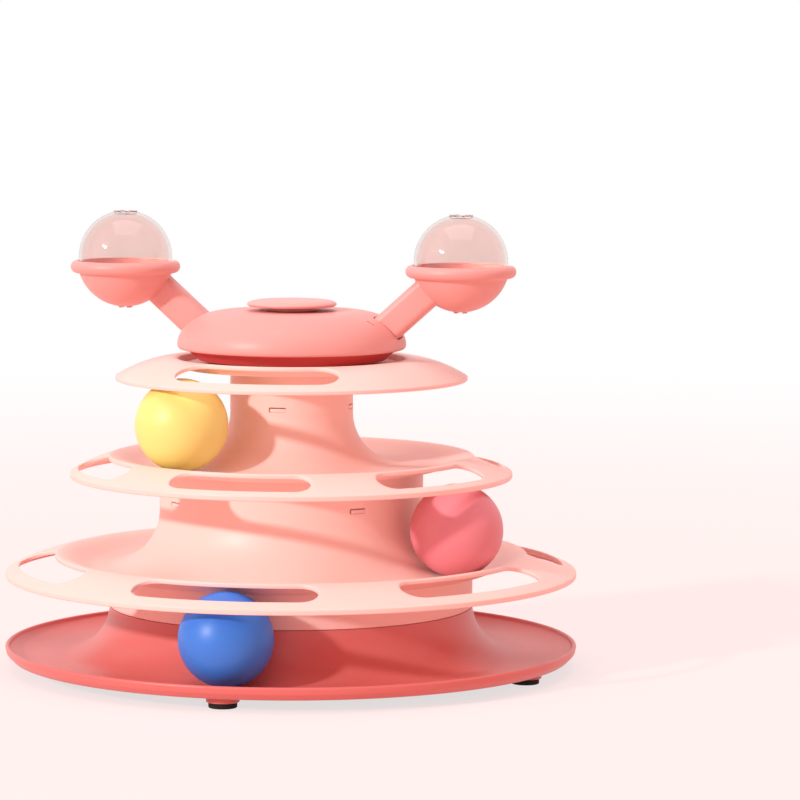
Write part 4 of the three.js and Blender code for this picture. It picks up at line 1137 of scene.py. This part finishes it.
cap_rose = plastic("satin_rose_cap", (238, 178, 173), 0.4)
cap = moulded("cap_button", cap_rose, on_head([turned(rounded([
    (0, CAP_TOP),
    (5.0, CAP_TOP),
    (10.0, CAP_TOP),
    *arc(CAP_R - CAP_EDGE[0], CAP_TOP - CAP_EDGE[1], *CAP_EDGE, 90, 0, 16),
    (CAP_R - 0.8, CAP_LOW, 0.3),
    (CAP_SHOULDER_R, CAP_LOW, 0.2),
    (CAP_SHOULDER_R, SHELL_TOP + SEAT, 0.2),
    (CAP_STEM_R, SHELL_TOP + SEAT, 0.2),
    (CAP_STEM_R, CAP_STEM_LOW, 0.4),
    (CAP_STEM_R - WALL, CAP_STEM_LOW, 0.4),
    (CAP_STEM_R - WALL, CAP_LOW, 0.4),
    (0, CAP_LOW),
]), HEAD_FACETS, closed=False)]))
fixed(cap, "cap", "rose_plastic", "centre_cap")

# Balls
# Three hollow one-piece plastic balls, blown in satin blue, rose and yellow, each with a faint
# parting line round its middle and a small vent below. One rolls in each track.
BALL_R = 20.0
BALL_IN = 18.4
VENT_R = 1.0
PARTING_WIDE = 1.0
PARTING_DEEP = 0.05
BALL_FACETS = 96
BALLS = (
    ("blue", (54, 131, 233), (-27.07, -98.96, 27.15)),
    ("red", (226, 138, 148), (70.67, -43.14, 65.75)),
    ("yellow", (242, 240, 140), (-47.02, -37.27, 110.15)),
)


def ball_line():
    """Half the ball's outline, from the vent up round the outside and back down inside."""
    low = 270 + math.degrees(math.asin(VENT_R / BALL_R))
    inner_low = 270 + math.degrees(math.asin(VENT_R / BALL_IN))
    outside = arc(0, 0, 1, 1, low, 450, 90)
    line = []
    for x, y in outside:
        bend = math.degrees(math.asin(max(-1.0, min(1.0, y))))
        r = BALL_R - PARTING_DEEP * max(0.0, 1 - (bend / PARTING_WIDE) ** 2)
        line.append((r * x, r * y))
    line[-1] = (0, BALL_R)
    inside = arc(0, 0, BALL_IN, BALL_IN, 450, inner_low, 48)
    inside[0] = (0, BALL_IN)
    return line, inside


outside, inside = ball_line()
for name, paint, (x, y, z) in BALLS:
    finish = plastic(f"satin_{name}", paint, 0.4)
    vent = [inside[-1], outside[0]]
    parts = [turned(line, BALL_FACETS, closed=False) for line in (outside, inside, vent)]
    ball = moulded(f"{name}_rolling_ball", finish, [moved(part, x, y, z) for part in parts])
    fixed(ball, f"{name}_ball", f"{name}_plastic", f"ball_{name}")

# Studio
# A plain pale floor that carries the tower's shadow, one small lamp low on the left of the front,
# a softbox overhead, a soft warm room light, and the camera a little above the clear domes.
scene = bpy.context.scene
scene.view_settings.view_transform = "Standard"
FLOOR_HALF = 30.0
WHITE = {"Color": (1.0, 1.0, 1.0, 1.0), "Strength": 1.0}
LAMP_FROM = (-0.713, -0.577, 0.399)
FRAME = 800.0
FOCAL = 4100.0
AXIS_ASIDE = 108.8
LEVEL_ABOVE = 389.5


def in_sight(bench):
    """1 for what is seen, straight, mirrored or through the domes, and 0 for what gives light."""
    seen = bench.node("ShaderNodeLightPath", {}, {}, "Is Camera Ray")
    rays = seen.socket.node.outputs
    return seen.most(Wire(bench, rays["Is Glossy Ray"])).most(Wire(bench, rays["Is Transmission Ray"]))


ground = Finish("pale_floor")
away = ground.node("ShaderNodeVectorMath", {"operation": "LENGTH"}, {0: ground.place}, "Value")
share = in_sight(ground) * ground.step(away, 0.25, 1.6, 0.7, 1.0)
matt = ground.node("ShaderNodeBsdfDiffuse", {}, {"Color": colour(250, 212, 204)})
glow = ground.node("ShaderNodeEmission", {}, WHITE)
surface = ground.node("ShaderNodeMixShader", {}, {0: share, 1: matt, 2: glow})
ground.tree.links.new(surface.socket, ground.tree.nodes["Material Output"].inputs["Surface"])
ground.tree.nodes.remove(ground.shader)
floor_mesh = bpy.data.meshes.new("floor")
corners = [(x * FLOOR_HALF, y * FLOOR_HALF, 0) for x, y in ((-1, -1), (1, -1), (1, 1), (-1, 1))]
floor_mesh.from_pydata(corners, [], [(0, 1, 2, 3)])
floor_mesh.materials.append(ground.material)
floor = bpy.data.objects.new("floor", floor_mesh)
scene.collection.objects.link(floor)

world = bpy.data.worlds.new("studio")
world.use_nodes = True
scene.world = world
room = Bench(world.node_tree)
soft = room.node("ShaderNodeBackground", {}, {"Color": (1.0, 0.52, 0.48, 1.0), "Strength": 0.8})
white = room.node("ShaderNodeBackground", {}, WHITE)
sky = room.node("ShaderNodeMixShader", {}, {0: in_sight(room), 1: soft, 2: white})
world.node_tree.links.new(sky.socket, world.node_tree.nodes["World Output"].inputs["Surface"])

lamp = bpy.data.lights.new("key_lamp", "SUN")
lamp.energy = 1.9
lamp.angle = math.radians(3.5)
lamp.color = (1.0, 0.98, 0.97)
lamp = bpy.data.objects.new("key_lamp", lamp)
lamp.rotation_euler = Vector(LAMP_FROM).to_track_quat("Z", "Y").to_euler()
scene.collection.objects.link(lamp)

softbox = bpy.data.lights.new("overhead_softbox", "AREA")
softbox.energy = 11.0
softbox.size = 1.4
softbox = bpy.data.objects.new("overhead_softbox", softbox)
softbox.location = (0.0, -0.1, 1.7)
softbox.visible_glossy = False
scene.collection.objects.link(softbox)

camera = bpy.data.cameras.new("camera")
camera.sensor_width = 36.0
camera.lens = camera.sensor_width * FOCAL / FRAME
camera = bpy.data.objects.new("camera", camera)
camera.location = (0.0, -1.783, 0.287)
swing = -math.atan(AXIS_ASIDE / FOCAL)
tilt = math.pi / 2 - math.atan(LEVEL_ABOVE / FOCAL)
roll = math.radians(0.25)
aim = Matrix.Rotation(swing, 3, "Z") @ Matrix.Rotation(tilt, 3, "X") @ Matrix.Rotation(roll, 3, "Z")
camera.rotation_euler = aim.to_euler()
scene.collection.objects.link(camera)
scene.camera = camera
